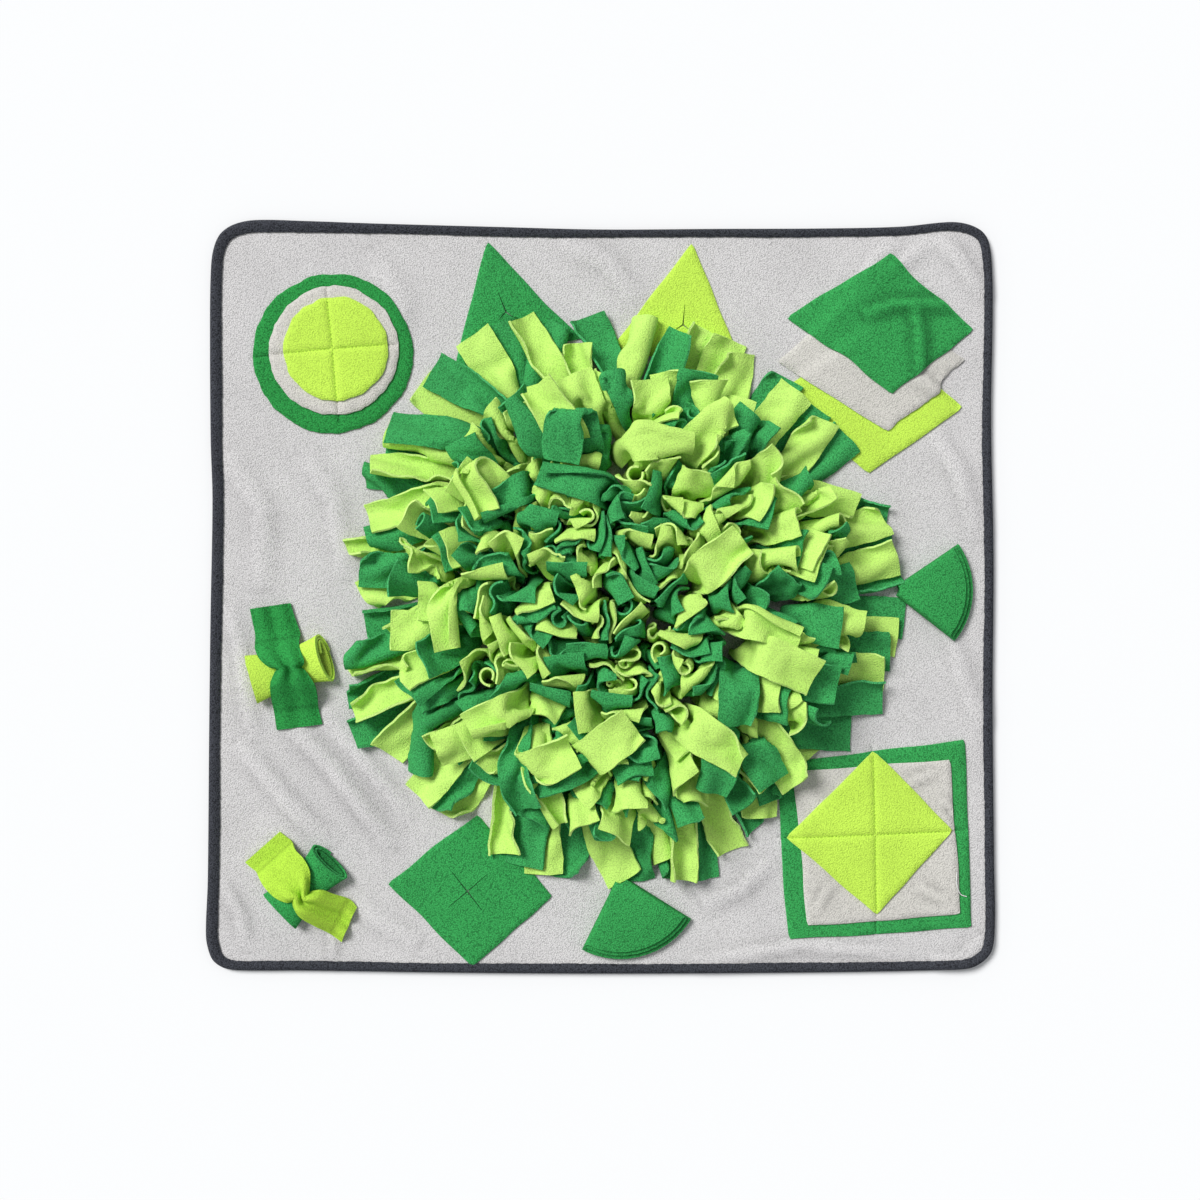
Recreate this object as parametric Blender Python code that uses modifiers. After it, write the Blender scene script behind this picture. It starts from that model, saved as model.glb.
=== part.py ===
"""A fleece snuffle mat that lies flat. A grey panel has a dark binding folded over its edge, flat fleece
pieces sewn on round its rim, two pinched rolls, two folded discs, and a round pile of fleece strips that
are rooted in rings. Metres, +Z up. The origin is on the surface that the mat lies on, under the middle
of its outline, with +Y towards the two triangles."""

import math
from collections import namedtuple

import bmesh
import bpy
from mathutils import Vector

# The panel and its binding
MAT_WIDTH = 0.700
MAT_DEPTH = 0.670
CORNER_RADIUS = 0.026
TOP_BOW = 0.006
BINDING_WIDTH = 0.010
BINDING_HEIGHT = 0.008
PANEL_TOP = 0.004
PANEL_CREASE = 0.0005
PANEL_CELLS = 11
TUCK = 0.005
TUCK_RAMP = 0.0045
TUCK_RISE = 0.0022
TUCK_THICK = 0.0035
GAP = 0.0003

# The sewn-on sheets
SHEET_THICK = 0.002
LAYER_PITCH = 0.0025
FIRST_LAYER = PANEL_TOP + GAP
RIPPLE = 0.00035
SLIT_WIDTH = 0.001
DISC_LOBE = 0.012

# The rolls; the wall and the step are shares of the oval's half-width
ROLL_WALL = 0.35
ROLL_STEP = 0.07
ROLL_HOLLOW = 0.0035
ROLL_FLAT = 0.0016

# The pile
PILE_CENTRE = Vector((0.021, -0.005, 0.0))
BAND_HEIGHT = 0.003
BAND_THICK = 0.0026
LOCK_THICK = 0.0024
LOCK_SHARE = 0.78
REST_HEIGHT = PANEL_TOP + GAP + LOCK_THICK / 2

LOOKS = {
    "fleece_grey": ((0.64, 0.635, 0.63), 0.95),
    "fleece_green": ((0.040, 0.340, 0.085), 0.92),
    "fleece_lime": ((0.560, 0.850, 0.095), 0.92),
    "fleece_pale": ((0.61, 0.59, 0.53), 0.95),
    "binding_charcoal": ((0.050, 0.056, 0.075), 0.85),
}

Fold = namedtuple("Fold", "x y heading length spread height")
Slit = namedtuple("Slit", "x y heading length")
Triangle = namedtuple("Triangle", "colour apex right left middle")
Arm = namedtuple("Arm", "along height half_width ruck shift")
Girth = namedtuple("Girth", "along half_width half_height")
Ring = namedtuple("Ring", "number look radius locks width rise turn crown tip tip_height twist steps")
Sector = namedtuple("Sector", "start end rest reach")


def clear_scene():
    for obj in list(bpy.data.objects):
        bpy.data.objects.remove(obj, do_unlink=True)


def new_collection(name):
    made = bpy.data.collections.new(name)
    bpy.context.scene.collection.children.link(made)
    return made


def new_material(name, colour, roughness):
    made = bpy.data.materials.new(name)
    made.use_nodes = True
    shader = made.node_tree.nodes["Principled BSDF"]
    shader.inputs["Base Color"].default_value = (*colour, 1.0)
    shader.inputs["Roughness"].default_value = roughness
    shader.inputs["Metallic"].default_value = 0.0
    made.diffuse_color = (*colour, 1.0)
    return made


def smooth_step(value, start, end):
    share = min(max((value - start) / (end - start), 0.0), 1.0)
    return share * share * (3.0 - 2.0 * share)


def between(rows, field, along):
    """The field's value at this distance along a table, smoothly between its rows."""
    for low, high in zip(rows, rows[1:]):
        if along <= high.along:
            share = smooth_step(along, low.along, high.along)
            return getattr(low, field) * (1.0 - share) + getattr(high, field) * share
    return getattr(rows[-1], field)


def object_from(bm, name, look):
    mesh = bpy.data.meshes.new(name)
    bm.to_mesh(mesh)
    bm.free()
    mesh.materials.append(bpy.data.materials[look])
    mesh.shade_smooth()
    mesh.set_sharp_from_angle(angle=math.radians(40.0))
    made = bpy.data.objects.new(name, mesh)
    bpy.data.collections["snuffle_mat"].objects.link(made)
    return made


def face_outwards(bm):
    """Turns the faces of a closed body so that they point out of it."""
    bmesh.ops.recalc_face_normals(bm, faces=bm.faces)
    if bm.calc_volume(signed=True) < 0.0:
        bmesh.ops.reverse_faces(bm, faces=bm.faces)


def thicken(obj, thickness, offset):
    solid = obj.modifiers.new("Thickness", "SOLIDIFY")
    solid.thickness = thickness
    solid.offset = offset
    return obj


def grid_surface(columns, rows, place):
    """An open surface of columns by rows points, each put where place(column share, row share) says."""
    bm = bmesh.new()
    bmesh.ops.create_grid(bm, x_segments=columns - 1, y_segments=rows - 1, size=0.5)
    for vert in bm.verts:
        vert.co = place(vert.co.x + 0.5, vert.co.y + 0.5)
    bmesh.ops.remove_doubles(bm, verts=bm.verts, dist=0.00001)
    bmesh.ops.recalc_face_normals(bm, faces=bm.faces)
    if sum(face.normal.z for face in bm.faces) < 0.0:
        bmesh.ops.reverse_faces(bm, faces=bm.faces)
    return bm


# ---------------------------------------------------------------- panel and binding


def depth_inside(x, y):
    """How far a point is inside the rounded outline."""
    qx = abs(x) - MAT_WIDTH / 2 + CORNER_RADIUS
    qy = abs(y) - MAT_DEPTH / 2 + CORNER_RADIUS
    outside = math.hypot(max(qx, 0.0), max(qy, 0.0)) + min(max(qx, qy), 0.0)
    return CORNER_RADIUS - outside


def bow(x, y):
    """How far the outline's top side draws in at this place."""
    share = max(y, 0.0) / (MAT_DEPTH / 2)
    straight = MAT_WIDTH / 2 - CORNER_RADIUS
    return TOP_BOW * math.cos(math.pi / 2 * min(abs(x) / straight, 1.0)) * share * share


def tucked_share(x, y):
    """1 where the panel is inside the binding, falling to 0 where it lies flat."""
    start = BINDING_WIDTH + GAP
    return 1.0 - smooth_step(depth_inside(x, y), start, start + TUCK_RAMP)


def rim_rise(x, y):
    """How far the panel's top rises towards the binding, at a place on the finished mat."""
    return (TUCK_RISE + TUCK_THICK - PANEL_TOP) * tucked_share(x, y + bow(x, y))


def panel_crease(x, y):
    """Soft hollows that run over the panel from its pile to its corners."""
    angle = math.atan2(y, x)
    reach = smooth_step(math.hypot(x, y), 0.16, 0.30)
    return -PANEL_CREASE * reach * (1.0 + math.sin(7.0 * angle + 30.0 * (x - y)))


def make_panel():
    inset = BINDING_WIDTH - TUCK
    half_width = MAT_WIDTH / 2 - inset
    half_depth = MAT_DEPTH / 2 - inset
    bm = bmesh.new()
    bmesh.ops.create_grid(bm, x_segments=PANEL_CELLS, y_segments=PANEL_CELLS, size=1.0)
    for vert in bm.verts:
        vert.co = (vert.co.x * half_width, vert.co.y * half_depth, 0.0)
    corners = [vert for vert in bm.verts if len(vert.link_faces) == 1]
    bmesh.ops.bevel(
        bm, geom=corners, offset=CORNER_RADIUS - inset, segments=5, profile=0.5, affect="VERTICES"
    )
    inner = bm.faces[:]
    for width in (TUCK + GAP, TUCK_RAMP):
        bmesh.ops.inset_region(bm, faces=inner, thickness=width, use_boundary=True)
    raised = bmesh.ops.extrude_face_region(bm, geom=bm.faces[:])
    top = {item for item in raised["geom"] if isinstance(item, bmesh.types.BMVert)}
    for vert in bm.verts:
        x, y, _ = vert.co
        tucked = tucked_share(x, y)
        low = TUCK_RISE * tucked
        high = (PANEL_TOP + panel_crease(x, y)) * (1.0 - tucked) + (TUCK_RISE + TUCK_THICK) * tucked
        vert.co.y = y - bow(x, y)
        vert.co.z = high if vert in top else low
    face_outwards(bm)
    return object_from(bm, "base_panel", "fleece_grey")


def flat_curve(name, points):
    """A closed 2D outline as a curve object."""
    curve = bpy.data.curves.new(name, "CURVE")
    curve.dimensions = "2D"
    spline = curve.splines.new("POLY")
    spline.points.add(len(points) - 1)
    for point, (x, y) in zip(spline.points, points):
        point.co = (x, y, 0.0, 1.0)
    spline.use_cyclic_u = True
    return bpy.data.objects.new(name, curve)


def binding_route():
    """The middle line of the binding, anticlockwise round the rounded outline."""
    inset = BINDING_WIDTH / 2
    radius = CORNER_RADIUS - inset
    middle_x = MAT_WIDTH / 2 - CORNER_RADIUS
    middle_y = MAT_DEPTH / 2 - CORNER_RADIUS
    arc_steps = 5
    side_steps = 7
    corners = ((middle_x, middle_y), (-middle_x, middle_y), (-middle_x, -middle_y), (middle_x, -middle_y))
    route = []
    for index, (cx, cy) in enumerate(corners):
        for step in range(arc_steps + 1):
            angle = math.pi / 2 * (index + step / arc_steps)
            route.append((cx + radius * math.cos(angle), cy + radius * math.sin(angle)))
        nx, ny = corners[(index + 1) % 4]
        end = math.pi / 2 * (index + 1)
        for step in range(1, side_steps):
            share = step / side_steps
            x = cx + (nx - cx) * share + radius * math.cos(end)
            y = cy + (ny - cy) * share + radius * math.sin(end)
            route.append((x, y))
    return [(x, y - bow(x, y)) for x, y in route]


def make_binding():
    """A tape folded over the panel's edge: a rounded C that opens inwards."""
    half = BINDING_WIDTH / 2
    top = BINDING_HEIGHT
    soft = 0.0022
    mouth_low = TUCK_RISE - GAP
    mouth_high = TUCK_RISE + TUCK_THICK + GAP
    bottom_of_slot = half - (BINDING_WIDTH - TUCK) + GAP
    section = (
        (-half, 0.0),
        (half - soft, 0.0),
        (half, soft),
        (half, top - soft),
        (half - soft, top),
        (-half + soft, top),
        (-half, top - 0.001),
        (-half, mouth_high),
        (bottom_of_slot, mouth_high),
        (bottom_of_slot, mouth_low),
        (-half, mouth_low),
    )
    # The curve's own left is the inside of the outline.
    profile = flat_curve("binding_section", [(-x, y) for x, y in reversed(section)])
    profile.hide_render = True
    profile.display_type = "WIRE"
    bpy.data.collections["cutters"].objects.link(profile)
    route = flat_curve("binding_route", binding_route())
    route.data.bevel_mode = "OBJECT"
    route.data.bevel_object = profile
    bpy.data.collections["snuffle_mat"].objects.link(route)
    bpy.context.view_layer.update()
    graph = bpy.context.evaluated_depsgraph_get()
    mesh = bpy.data.meshes.new_from_object(route.evaluated_get(graph))
    bm = bmesh.new()
    bm.from_mesh(mesh)
    bmesh.ops.remove_doubles(bm, verts=bm.verts, dist=0.00001)
    bpy.data.meshes.remove(mesh)
    bpy.data.objects.remove(route, do_unlink=True)
    face_outwards(bm)
    return object_from(bm, "edge_binding", "binding_charcoal")


# ---------------------------------------------------------------- sheets


def ripple(x, y):
    return RIPPLE * (1.0 + math.sin(70.0 * x + 25.0 * y) * math.cos(60.0 * y - 20.0 * x))


def fold_height(folds, x, y):
    """The height of soft ridges at this place."""
    height = 0.0
    for fold in folds:
        heading = math.radians(fold.heading)
        along = (x - fold.x) * math.cos(heading) + (y - fold.y) * math.sin(heading)
        across = (y - fold.y) * math.cos(heading) - (x - fold.x) * math.sin(heading)
        height += fold.height * math.exp(-((across / fold.spread) ** 2) - (2.0 * along / fold.length) ** 2)
    return height


def sheet_height(layer, folds, x, y):
    unevenness = ripple(x, y) + fold_height(folds, x, y) + rim_rise(x, y)
    return FIRST_LAYER + layer * LAYER_PITCH + unevenness


def cut_slits(obj, slits):
    """Each slit is a thin cut right through the sheet, from its inner end outwards."""
    for number, slit in enumerate(slits, 1):
        bpy.ops.mesh.primitive_cube_add(size=1.0)
        cutter = bpy.context.active_object
        cutter.name = f"{obj.name}_slit_{number}"
        heading = math.radians(slit.heading)
        reach = slit.length / 2
        cutter.location = (slit.x + reach * math.cos(heading), slit.y + reach * math.sin(heading), FIRST_LAYER)
        cutter.rotation_euler = (0.0, 0.0, heading)
        cutter.scale = (slit.length, SLIT_WIDTH, 0.02)
        for home in list(cutter.users_collection):
            home.objects.unlink(cutter)
        bpy.data.collections["cutters"].objects.link(cutter)
        cutter.hide_render = True
        cutter.display_type = "WIRE"
        cut = obj.modifiers.new(cutter.name, "BOOLEAN")
        cut.operation = "DIFFERENCE"
        cut.object = cutter


def make_quad(name, look, corners, height, cells=6):
    """A four-sided sheet; where two of its corners are one point it is a triangle."""

    def place(u, v):
        south = Vector(corners[0]).lerp(Vector(corners[1]), u)
        north = Vector(corners[3]).lerp(Vector(corners[2]), u)
        x, y = south.lerp(north, v)
        return Vector((x, y, height(x, y)))

    return thicken(object_from(grid_surface(cells + 1, cells + 1, place), name, look), SHEET_THICK, 1.0)


def make_disc(name, look, centre, radius, layer, lobe):
    """A round sheet, cut by hand, so that its outline has three slight lobes."""

    def place(u, v):
        x = 2.0 * u - 1.0
        y = 2.0 * v - 1.0
        round_x = x * math.sqrt(1.0 - y * y / 2.0)
        round_y = y * math.sqrt(1.0 - x * x / 2.0)
        swell = radius * (1.0 + DISC_LOBE * math.sin(3.0 * math.atan2(round_y, round_x) + lobe))
        px = centre[0] + swell * round_x
        py = centre[1] + swell * round_y
        return Vector((px, py, sheet_height(layer, (), px, py)))

    return thicken(object_from(grid_surface(8, 8, place), name, look), SHEET_THICK, 1.0)


def make_discs():
    make_disc("disc_green", "fleece_green", (-0.2385, 0.2172), 0.0700, 0, 0.4)
    make_disc("disc_grey", "fleece_pale", (-0.2374, 0.2197), 0.0570, 1, 2.1)
    make_disc("disc_lime", "fleece_lime", (-0.2354, 0.2208), 0.0462, 2, 4.0)


def make_triangles():
    """Two triangles with a Y of slits, sewn on by their two short corners at the top of the mat."""
    rows = (
        Triangle("green", (-0.100, 0.316), (-0.017, 0.229), (-0.130, 0.200), (-0.083, 0.252)),
        Triangle("lime", (0.082, 0.3145), (0.127, 0.204), (0.008, 0.221), (0.073, 0.242)),
    )
    slit_length = 0.019
    for row in rows:
        corners = (row.left, row.right, row.apex, row.apex)
        name = f"triangle_{row.colour}"
        made = make_quad(name, f"fleece_{row.colour}", corners, lambda x, y: sheet_height(0, (), x, y))
        slits = []
        for corner in (row.apex, row.right, row.left):
            heading = math.atan2(corner[1] - row.middle[1], corner[0] - row.middle[0])
            slits.append(Slit(*row.middle, math.degrees(heading), slit_length))
        cut_slits(made, slits)


def make_flaps():
    """Three squares that overlap like tiles, each sewn down along its upper right side."""
    upward = Vector((0.687, 0.727))
    sewn_line = Vector((0.2958, 0.2726)).dot(upward)
    climb_one = (0.012, 0.026)
    climb_two = (0.040, 0.054)
    green_folds = (
        Fold(0.283, 0.247, 3.0, 0.040, 0.007, 0.0030),
        Fold(0.290, 0.226, 92.0, 0.060, 0.006, 0.0032),
    )

    def green_height(x, y):
        back = sewn_line - Vector((x, y)).dot(upward)
        layers = smooth_step(back, *climb_one) + smooth_step(back, *climb_two)
        return sheet_height(layers, green_folds, x, y)

    def grey_height(x, y):
        back = sewn_line - Vector((x, y)).dot(upward)
        return sheet_height(smooth_step(back, *climb_two), (), x, y)

    def lime_height(x, y):
        return sheet_height(0, (), x, y)

    lime_corners = ((0.142, 0.181), (0.238, 0.110), (0.322, 0.168), (0.226, 0.240))
    grey_corners = ((0.157, 0.209), (0.255, 0.148), (0.3255, 0.2115), (0.228, 0.2725))
    green_corners = ((0.167, 0.249), (0.259, 0.180), (0.3325, 0.238), (0.259, 0.307))
    make_quad("flap_lime", "fleece_lime", lime_corners, lime_height)
    make_quad("flap_grey", "fleece_pale", grey_corners, grey_height, 8)
    make_quad("flap_green", "fleece_green", green_corners, green_height, 10)


def make_slit_diamond():
    folds = (Fold(-0.150, -0.240, 45.0, 0.060, 0.020, 0.0008),)
    corners = ((-0.189, -0.255), (-0.114, -0.3235), (-0.044, -0.267), (-0.108, -0.194))
    middle = (-0.118, -0.262)
    arm = 0.0225
    made = make_quad("diamond_green", "fleece_green", corners, lambda x, y: sheet_height(0, folds, x, y))
    cut_slits(made, [Slit(*middle, heading, arm) for heading in (52.0, 142.0, 232.0, 322.0)])


def make_squares():
    """A square in a square under a diamond, all sewn down by one cross of stitches."""
    green_corners = ((0.1685, -0.304), (0.330, -0.294), (0.3235, -0.127), (0.149, -0.146))
    grey_corners = ((0.1845, -0.292), (0.320, -0.282), (0.3105, -0.145), (0.1695, -0.156))
    lime_corners = ((0.166, -0.2145), (0.245, -0.282), (0.313, -0.208), (0.243, -0.138))
    make_quad("square_green", "fleece_green", green_corners, lambda x, y: sheet_height(0, (), x, y))
    make_quad("square_grey", "fleece_pale", grey_corners, lambda x, y: sheet_height(1, (), x, y))
    make_quad("diamond_lime", "fleece_lime", lime_corners, lambda x, y: sheet_height(2, (), x, y))


# ---------------------------------------------------------------- folded discs


def make_fan(name, tip, heading, half_angle, radius):
    """A disc folded in four: four layers that go back and forth across a quarter circle."""
    layers = 4
    thick = 0.0017
    tip_pitch = 0.0024
    rim_pitch = 0.0034
    start = 0.012
    edge = 0.0016
    middle = math.radians(heading)
    spread = math.radians(half_angle)
    # Each layer is five points wide, and one more point turns into the next layer.
    across_layer = (-1.0, -0.5, 0.0, 0.5, 1.0)
    turn = len(across_layer) + 1
    columns = layers * turn - 1

    def place(u, v):
        number = round(u * (columns - 1))
        layer, point = divmod(number, turn)
        side = 1.0 if layer % 2 == 0 else -1.0
        reach = start + (radius - start) * v
        pitch = tip_pitch + (rim_pitch - tip_pitch) * v
        flat_end = 1.0 - edge / (reach * spread)
        if point == turn - 1:
            share = side
            level = layer + 0.5
        else:
            share = side * across_layer[point] * flat_end
            level = float(layer)
        angle = middle + spread * share
        out = reach * (1.0 + 0.03 * math.sin(1.7 * layer + 2.0 * share) * v)
        lift = FIRST_LAYER + thick / 2 + level * pitch
        return Vector((tip[0] + out * math.cos(angle), tip[1] + out * math.sin(angle), lift))

    return thicken(object_from(grid_surface(columns, 5, place), name, "fleece_green"), thick, 0.0)


def make_fans():
    make_fan("fan_right", (0.256, 0.006), -2.5, 37.0, 0.070)
    make_fan("fan_bottom", (0.015, -0.250), -76.0, 43.0, 0.071)


# ---------------------------------------------------------------- rolls and their straps


def make_roll(name, look, start, end, girths, lap):
    """A strip wound up flat: an oval with hollow ends, a pinched waist and the step of its last turn."""
    start = Vector(start)
    axis = Vector(end) - start
    length = axis.length
    axis.normalize()
    side = Vector((-axis.y, axis.x))
    bm = bmesh.new()
    bmesh.ops.create_cone(
        bm, cap_ends=True, cap_tris=False, segments=20, radius1=1.0, radius2=1.0, depth=1.0
    )
    ends = [face for face in bm.faces if abs(face.normal.z) > 0.9]
    for inset in (ROLL_WALL, ROLL_WALL / 7):
        bmesh.ops.inset_individual(bm, faces=ends, thickness=inset)
    for face in ends:
        for vert in face.verts:
            vert.co.z -= math.copysign(ROLL_HOLLOW / length, vert.co.z)
    long_edges = [
        edge
        for edge in bm.edges
        if abs(edge.verts[0].co.z - edge.verts[1].co.z) > 0.9
        and min(edge.verts[0].co.xy.length, edge.verts[1].co.xy.length) > 0.9
    ]
    bmesh.ops.subdivide_edges(bm, edges=long_edges, cuts=7, use_grid_fill=False)
    for vert in bm.verts:
        along = (vert.co.z + 0.5) * length
        turn = (math.atan2(vert.co.y, vert.co.x) / (2.0 * math.pi) + lap) % 1.0
        size = vert.co.xy.length * (1.0 - ROLL_STEP * (1.0 - turn))
        half_width = between(girths, "half_width", along)
        half_height = between(girths, "half_height", along)
        direction = vert.co.xy.normalized()
        place = start + axis * along + side * (direction.x * size * half_width)
        lift = half_height * (1.0 + direction.y * size)
        rests = lift < ROLL_FLAT
        vert.co = (place.x, place.y, FIRST_LAYER + (0.0 if rests else lift))
    face_outwards(bm)
    return object_from(bm, name, look)


def make_strap(name, look, start, end, arms):
    """A strip that lies flat at both ends and is gathered where it crosses over its roll."""
    start = Vector(start)
    along_way = Vector(end) - start
    length = along_way.length
    along_way.normalize()
    side = Vector((along_way.y, -along_way.x))
    last = arms[-1].along

    def place(u, v):
        along = v * last
        across = 2.0 * u - 1.0
        width = between(arms, "half_width", along) * across
        ruck = between(arms, "ruck", along) * math.cos(2.0 * math.pi * across)
        shift = between(arms, "shift", along)
        point = start + along_way * (along / last * length) + side * (width + shift)
        lift = PANEL_TOP + between(arms, "height", along) + ruck
        return Vector((point.x, point.y, lift))

    return thicken(object_from(grid_surface(7, 17, place), name, look), SHEET_THICK, 0.0)


def make_left_bow():
    girths = (
        Girth(0.000, 0.0225, 0.0085),
        Girth(0.015, 0.0220, 0.0088),
        Girth(0.036, 0.0150, 0.0078),
        Girth(0.058, 0.0215, 0.0088),
        Girth(0.075, 0.0225, 0.0085),
    )
    arms = (
        Arm(0.000, 0.0014, 0.0182, 0.0000, 0.000),
        Arm(0.018, 0.0018, 0.0185, 0.0000, 0.000),
        Arm(0.030, 0.0100, 0.0215, 0.0003, 0.000),
        Arm(0.040, 0.0180, 0.0190, 0.0012, 0.001),
        Arm(0.057, 0.0192, 0.0128, 0.0016, 0.002),
        Arm(0.074, 0.0180, 0.0175, 0.0012, 0.001),
        Arm(0.086, 0.0100, 0.0212, 0.0003, 0.000),
        Arm(0.098, 0.0018, 0.0205, 0.0000, 0.000),
        Arm(0.111, 0.0014, 0.0200, 0.0000, 0.000),
    )
    make_roll("roll_lime", "fleece_lime", (-0.311, -0.074), (-0.239, -0.053), girths, 0.30)
    make_strap("strap_green", "fleece_green", (-0.293, -0.008), (-0.267, -0.116), arms)


def make_bottom_bow():
    girths = (
        Girth(0.000, 0.0190, 0.0085),
        Girth(0.012, 0.0190, 0.0088),
        Girth(0.030, 0.0145, 0.0078),
        Girth(0.050, 0.0195, 0.0088),
        Girth(0.068, 0.0200, 0.0085),
    )
    arms = (
        Arm(0.000, 0.0014, 0.0205, 0.0000, 0.000),
        Arm(0.016, 0.0018, 0.0195, 0.0000, 0.002),
        Arm(0.027, 0.0100, 0.0190, 0.0003, 0.004),
        Arm(0.038, 0.0180, 0.0165, 0.0012, 0.008),
        Arm(0.054, 0.0192, 0.0115, 0.0016, 0.011),
        Arm(0.070, 0.0180, 0.0160, 0.0012, 0.008),
        Arm(0.081, 0.0100, 0.0190, 0.0003, 0.003),
        Arm(0.092, 0.0018, 0.0190, 0.0000, 0.001),
        Arm(0.104, 0.0014, 0.0170, 0.0000, 0.000),
    )
    make_roll("roll_green", "fleece_green", (-0.285, -0.281), (-0.236, -0.234), girths, 0.30)
    make_strap("strap_lime", "fleece_lime", (-0.300, -0.222), (-0.223, -0.291), arms)


# ---------------------------------------------------------------- pile


def sector_at(sectors, angle):
    degrees = math.degrees(angle) % 360.0
    for sector in sectors:
        if sector.start <= degrees < sector.end:
            return sector
    return Sector(0.0, 360.0, 0.0, 0.0)


def lock_section(ring, sector, number, angle, share):
    """The four corners of a lock's cross-section at this share of its length, in the order of its root."""
    sway = math.sin(2.4 * number * number + 11.0 * ring.radius)
    tip = ring.tip * (1.0 + 0.025 * math.sin(5.1 * number))
    tip = min(tip, sector.reach) if sector.reach else tip
    root_height = PANEL_TOP + GAP + BAND_HEIGHT
    controls = (
        Vector((ring.radius, root_height)),
        Vector((ring.radius + 0.001, root_height + ring.rise + sector.rest / 2)),
        Vector((ring.turn, ring.crown + sector.rest)),
        Vector((tip, ring.tip_height + sector.rest)),
    )
    back = 1.0 - share
    weights = (back**3, 3.0 * back * back * share, 3.0 * back * share * share, share**3)
    slopes = (-back * back, back * back - 2.0 * back * share, 2.0 * back * share - share * share, share * share)
    profile = sum((point * weight for point, weight in zip(controls, weights)), Vector((0.0, 0.0)))
    heading = sum((point * weight for point, weight in zip(controls, slopes)), Vector((0.0, 0.0))).normalized()
    turned = angle + math.radians(3.2) * sway * share * share
    outward = Vector((math.cos(turned), math.sin(turned), 0.0))
    across = Vector((-outward.y, outward.x, 0.0))
    over = Vector((0.0, 0.0, 1.0)) * heading.x - outward * heading.y
    twist = math.radians(ring.twist) * sway * share
    wide = across * math.cos(twist) + over * math.sin(twist)
    thin = over * math.cos(twist) - across * math.sin(twist)
    root_width = 2.0 * math.pi * ring.radius / ring.locks * LOCK_SHARE
    width = root_width + (ring.width - root_width) * min(share * 2.0, 1.0)
    middle = PILE_CENTRE + outward * profile.x + Vector((0.0, 0.0, profile.y))
    half_wide = wide * (width / 2)
    half_thin = thin * (LOCK_THICK / 2)
    return {
        (side, face): middle + half_wide * side + half_thin * face for side in (-1, 1) for face in (-1, 1)
    }


def grow_lock(bm, face, ring, sector, number, angle):
    """Extrudes a lock from its root face, one section after another."""
    outward = Vector((math.cos(angle), math.sin(angle), 0.0))
    across = Vector((-outward.y, outward.x, 0.0))
    root = face.calc_center_median()
    grown = bmesh.ops.extrude_discrete_faces(bm, faces=[face])
    corners = {}
    for vert in grown["faces"][0].verts:
        offset = vert.co - root
        corners[(1 if offset.dot(across) > 0.0 else -1, -1 if offset.dot(outward) > 0.0 else 1)] = vert.co.copy()
    face = grown["faces"][0]
    for step in range(1, ring.steps + 1):
        if step > 1:
            face = bmesh.ops.extrude_discrete_faces(bm, faces=[face])["faces"][0]
        section = lock_section(ring, sector, number, angle, step / ring.steps)
        for vert in face.verts:
            key = min(corners, key=lambda item: (corners[item] - vert.co).length)
            vert.co = section[key]
        corners = section


def make_ring(ring, sectors):
    """A narrow band on the panel, with a row of locks grown from its top."""
    bm = bmesh.new()
    bmesh.ops.create_cone(
        bm,
        cap_ends=False,
        segments=2 * ring.locks,
        radius1=ring.radius,
        radius2=ring.radius,
        depth=BAND_HEIGHT,
    )
    bm.verts.ensure_lookup_table()
    first_angle = math.atan2(bm.verts[0].co.y, bm.verts[0].co.x)
    bmesh.ops.solidify(bm, geom=bm.faces[:], thickness=BAND_THICK)
    pitch = 2.0 * math.pi / ring.locks
    phase = 40.0 * ring.radius
    half = pitch * LOCK_SHARE / 2
    reaches = [vert.co.xy.length for vert in bm.verts]
    middle_reach = (min(reaches) + max(reaches)) / 2
    for vert in bm.verts:
        turned = math.atan2(vert.co.y, vert.co.x) - first_angle
        step = round(turned / (pitch / 2)) % (2 * ring.locks)
        number, is_end = divmod(step, 2)
        angle = number * pitch + phase + (half if is_end else -half)
        side = -1 if vert.co.xy.length < middle_reach else 1
        reach = ring.radius + side * BAND_THICK / 2
        lift = PANEL_TOP + GAP + (BAND_HEIGHT if vert.co.z > 0.0 else 0.0)
        vert.co = PILE_CENTRE + Vector((reach * math.cos(angle), reach * math.sin(angle), lift))
    bmesh.ops.recalc_face_normals(bm, faces=bm.faces)
    tops = [face for face in bm.faces if face.normal.z > 0.9]
    for number in range(ring.locks):
        angle = number * pitch + phase
        outward = Vector((math.cos(angle), math.sin(angle), 0.0))
        root = PILE_CENTRE + outward * ring.radius
        top = min(tops, key=lambda face: (face.calc_center_median().xy - root.xy).length)
        tops.remove(top)
        grow_lock(bm, top, ring, sector_at(sectors, angle), number, angle)
    face_outwards(bm)
    return object_from(bm, f"pile_ring_{ring.number:02d}", ring.look)


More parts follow.
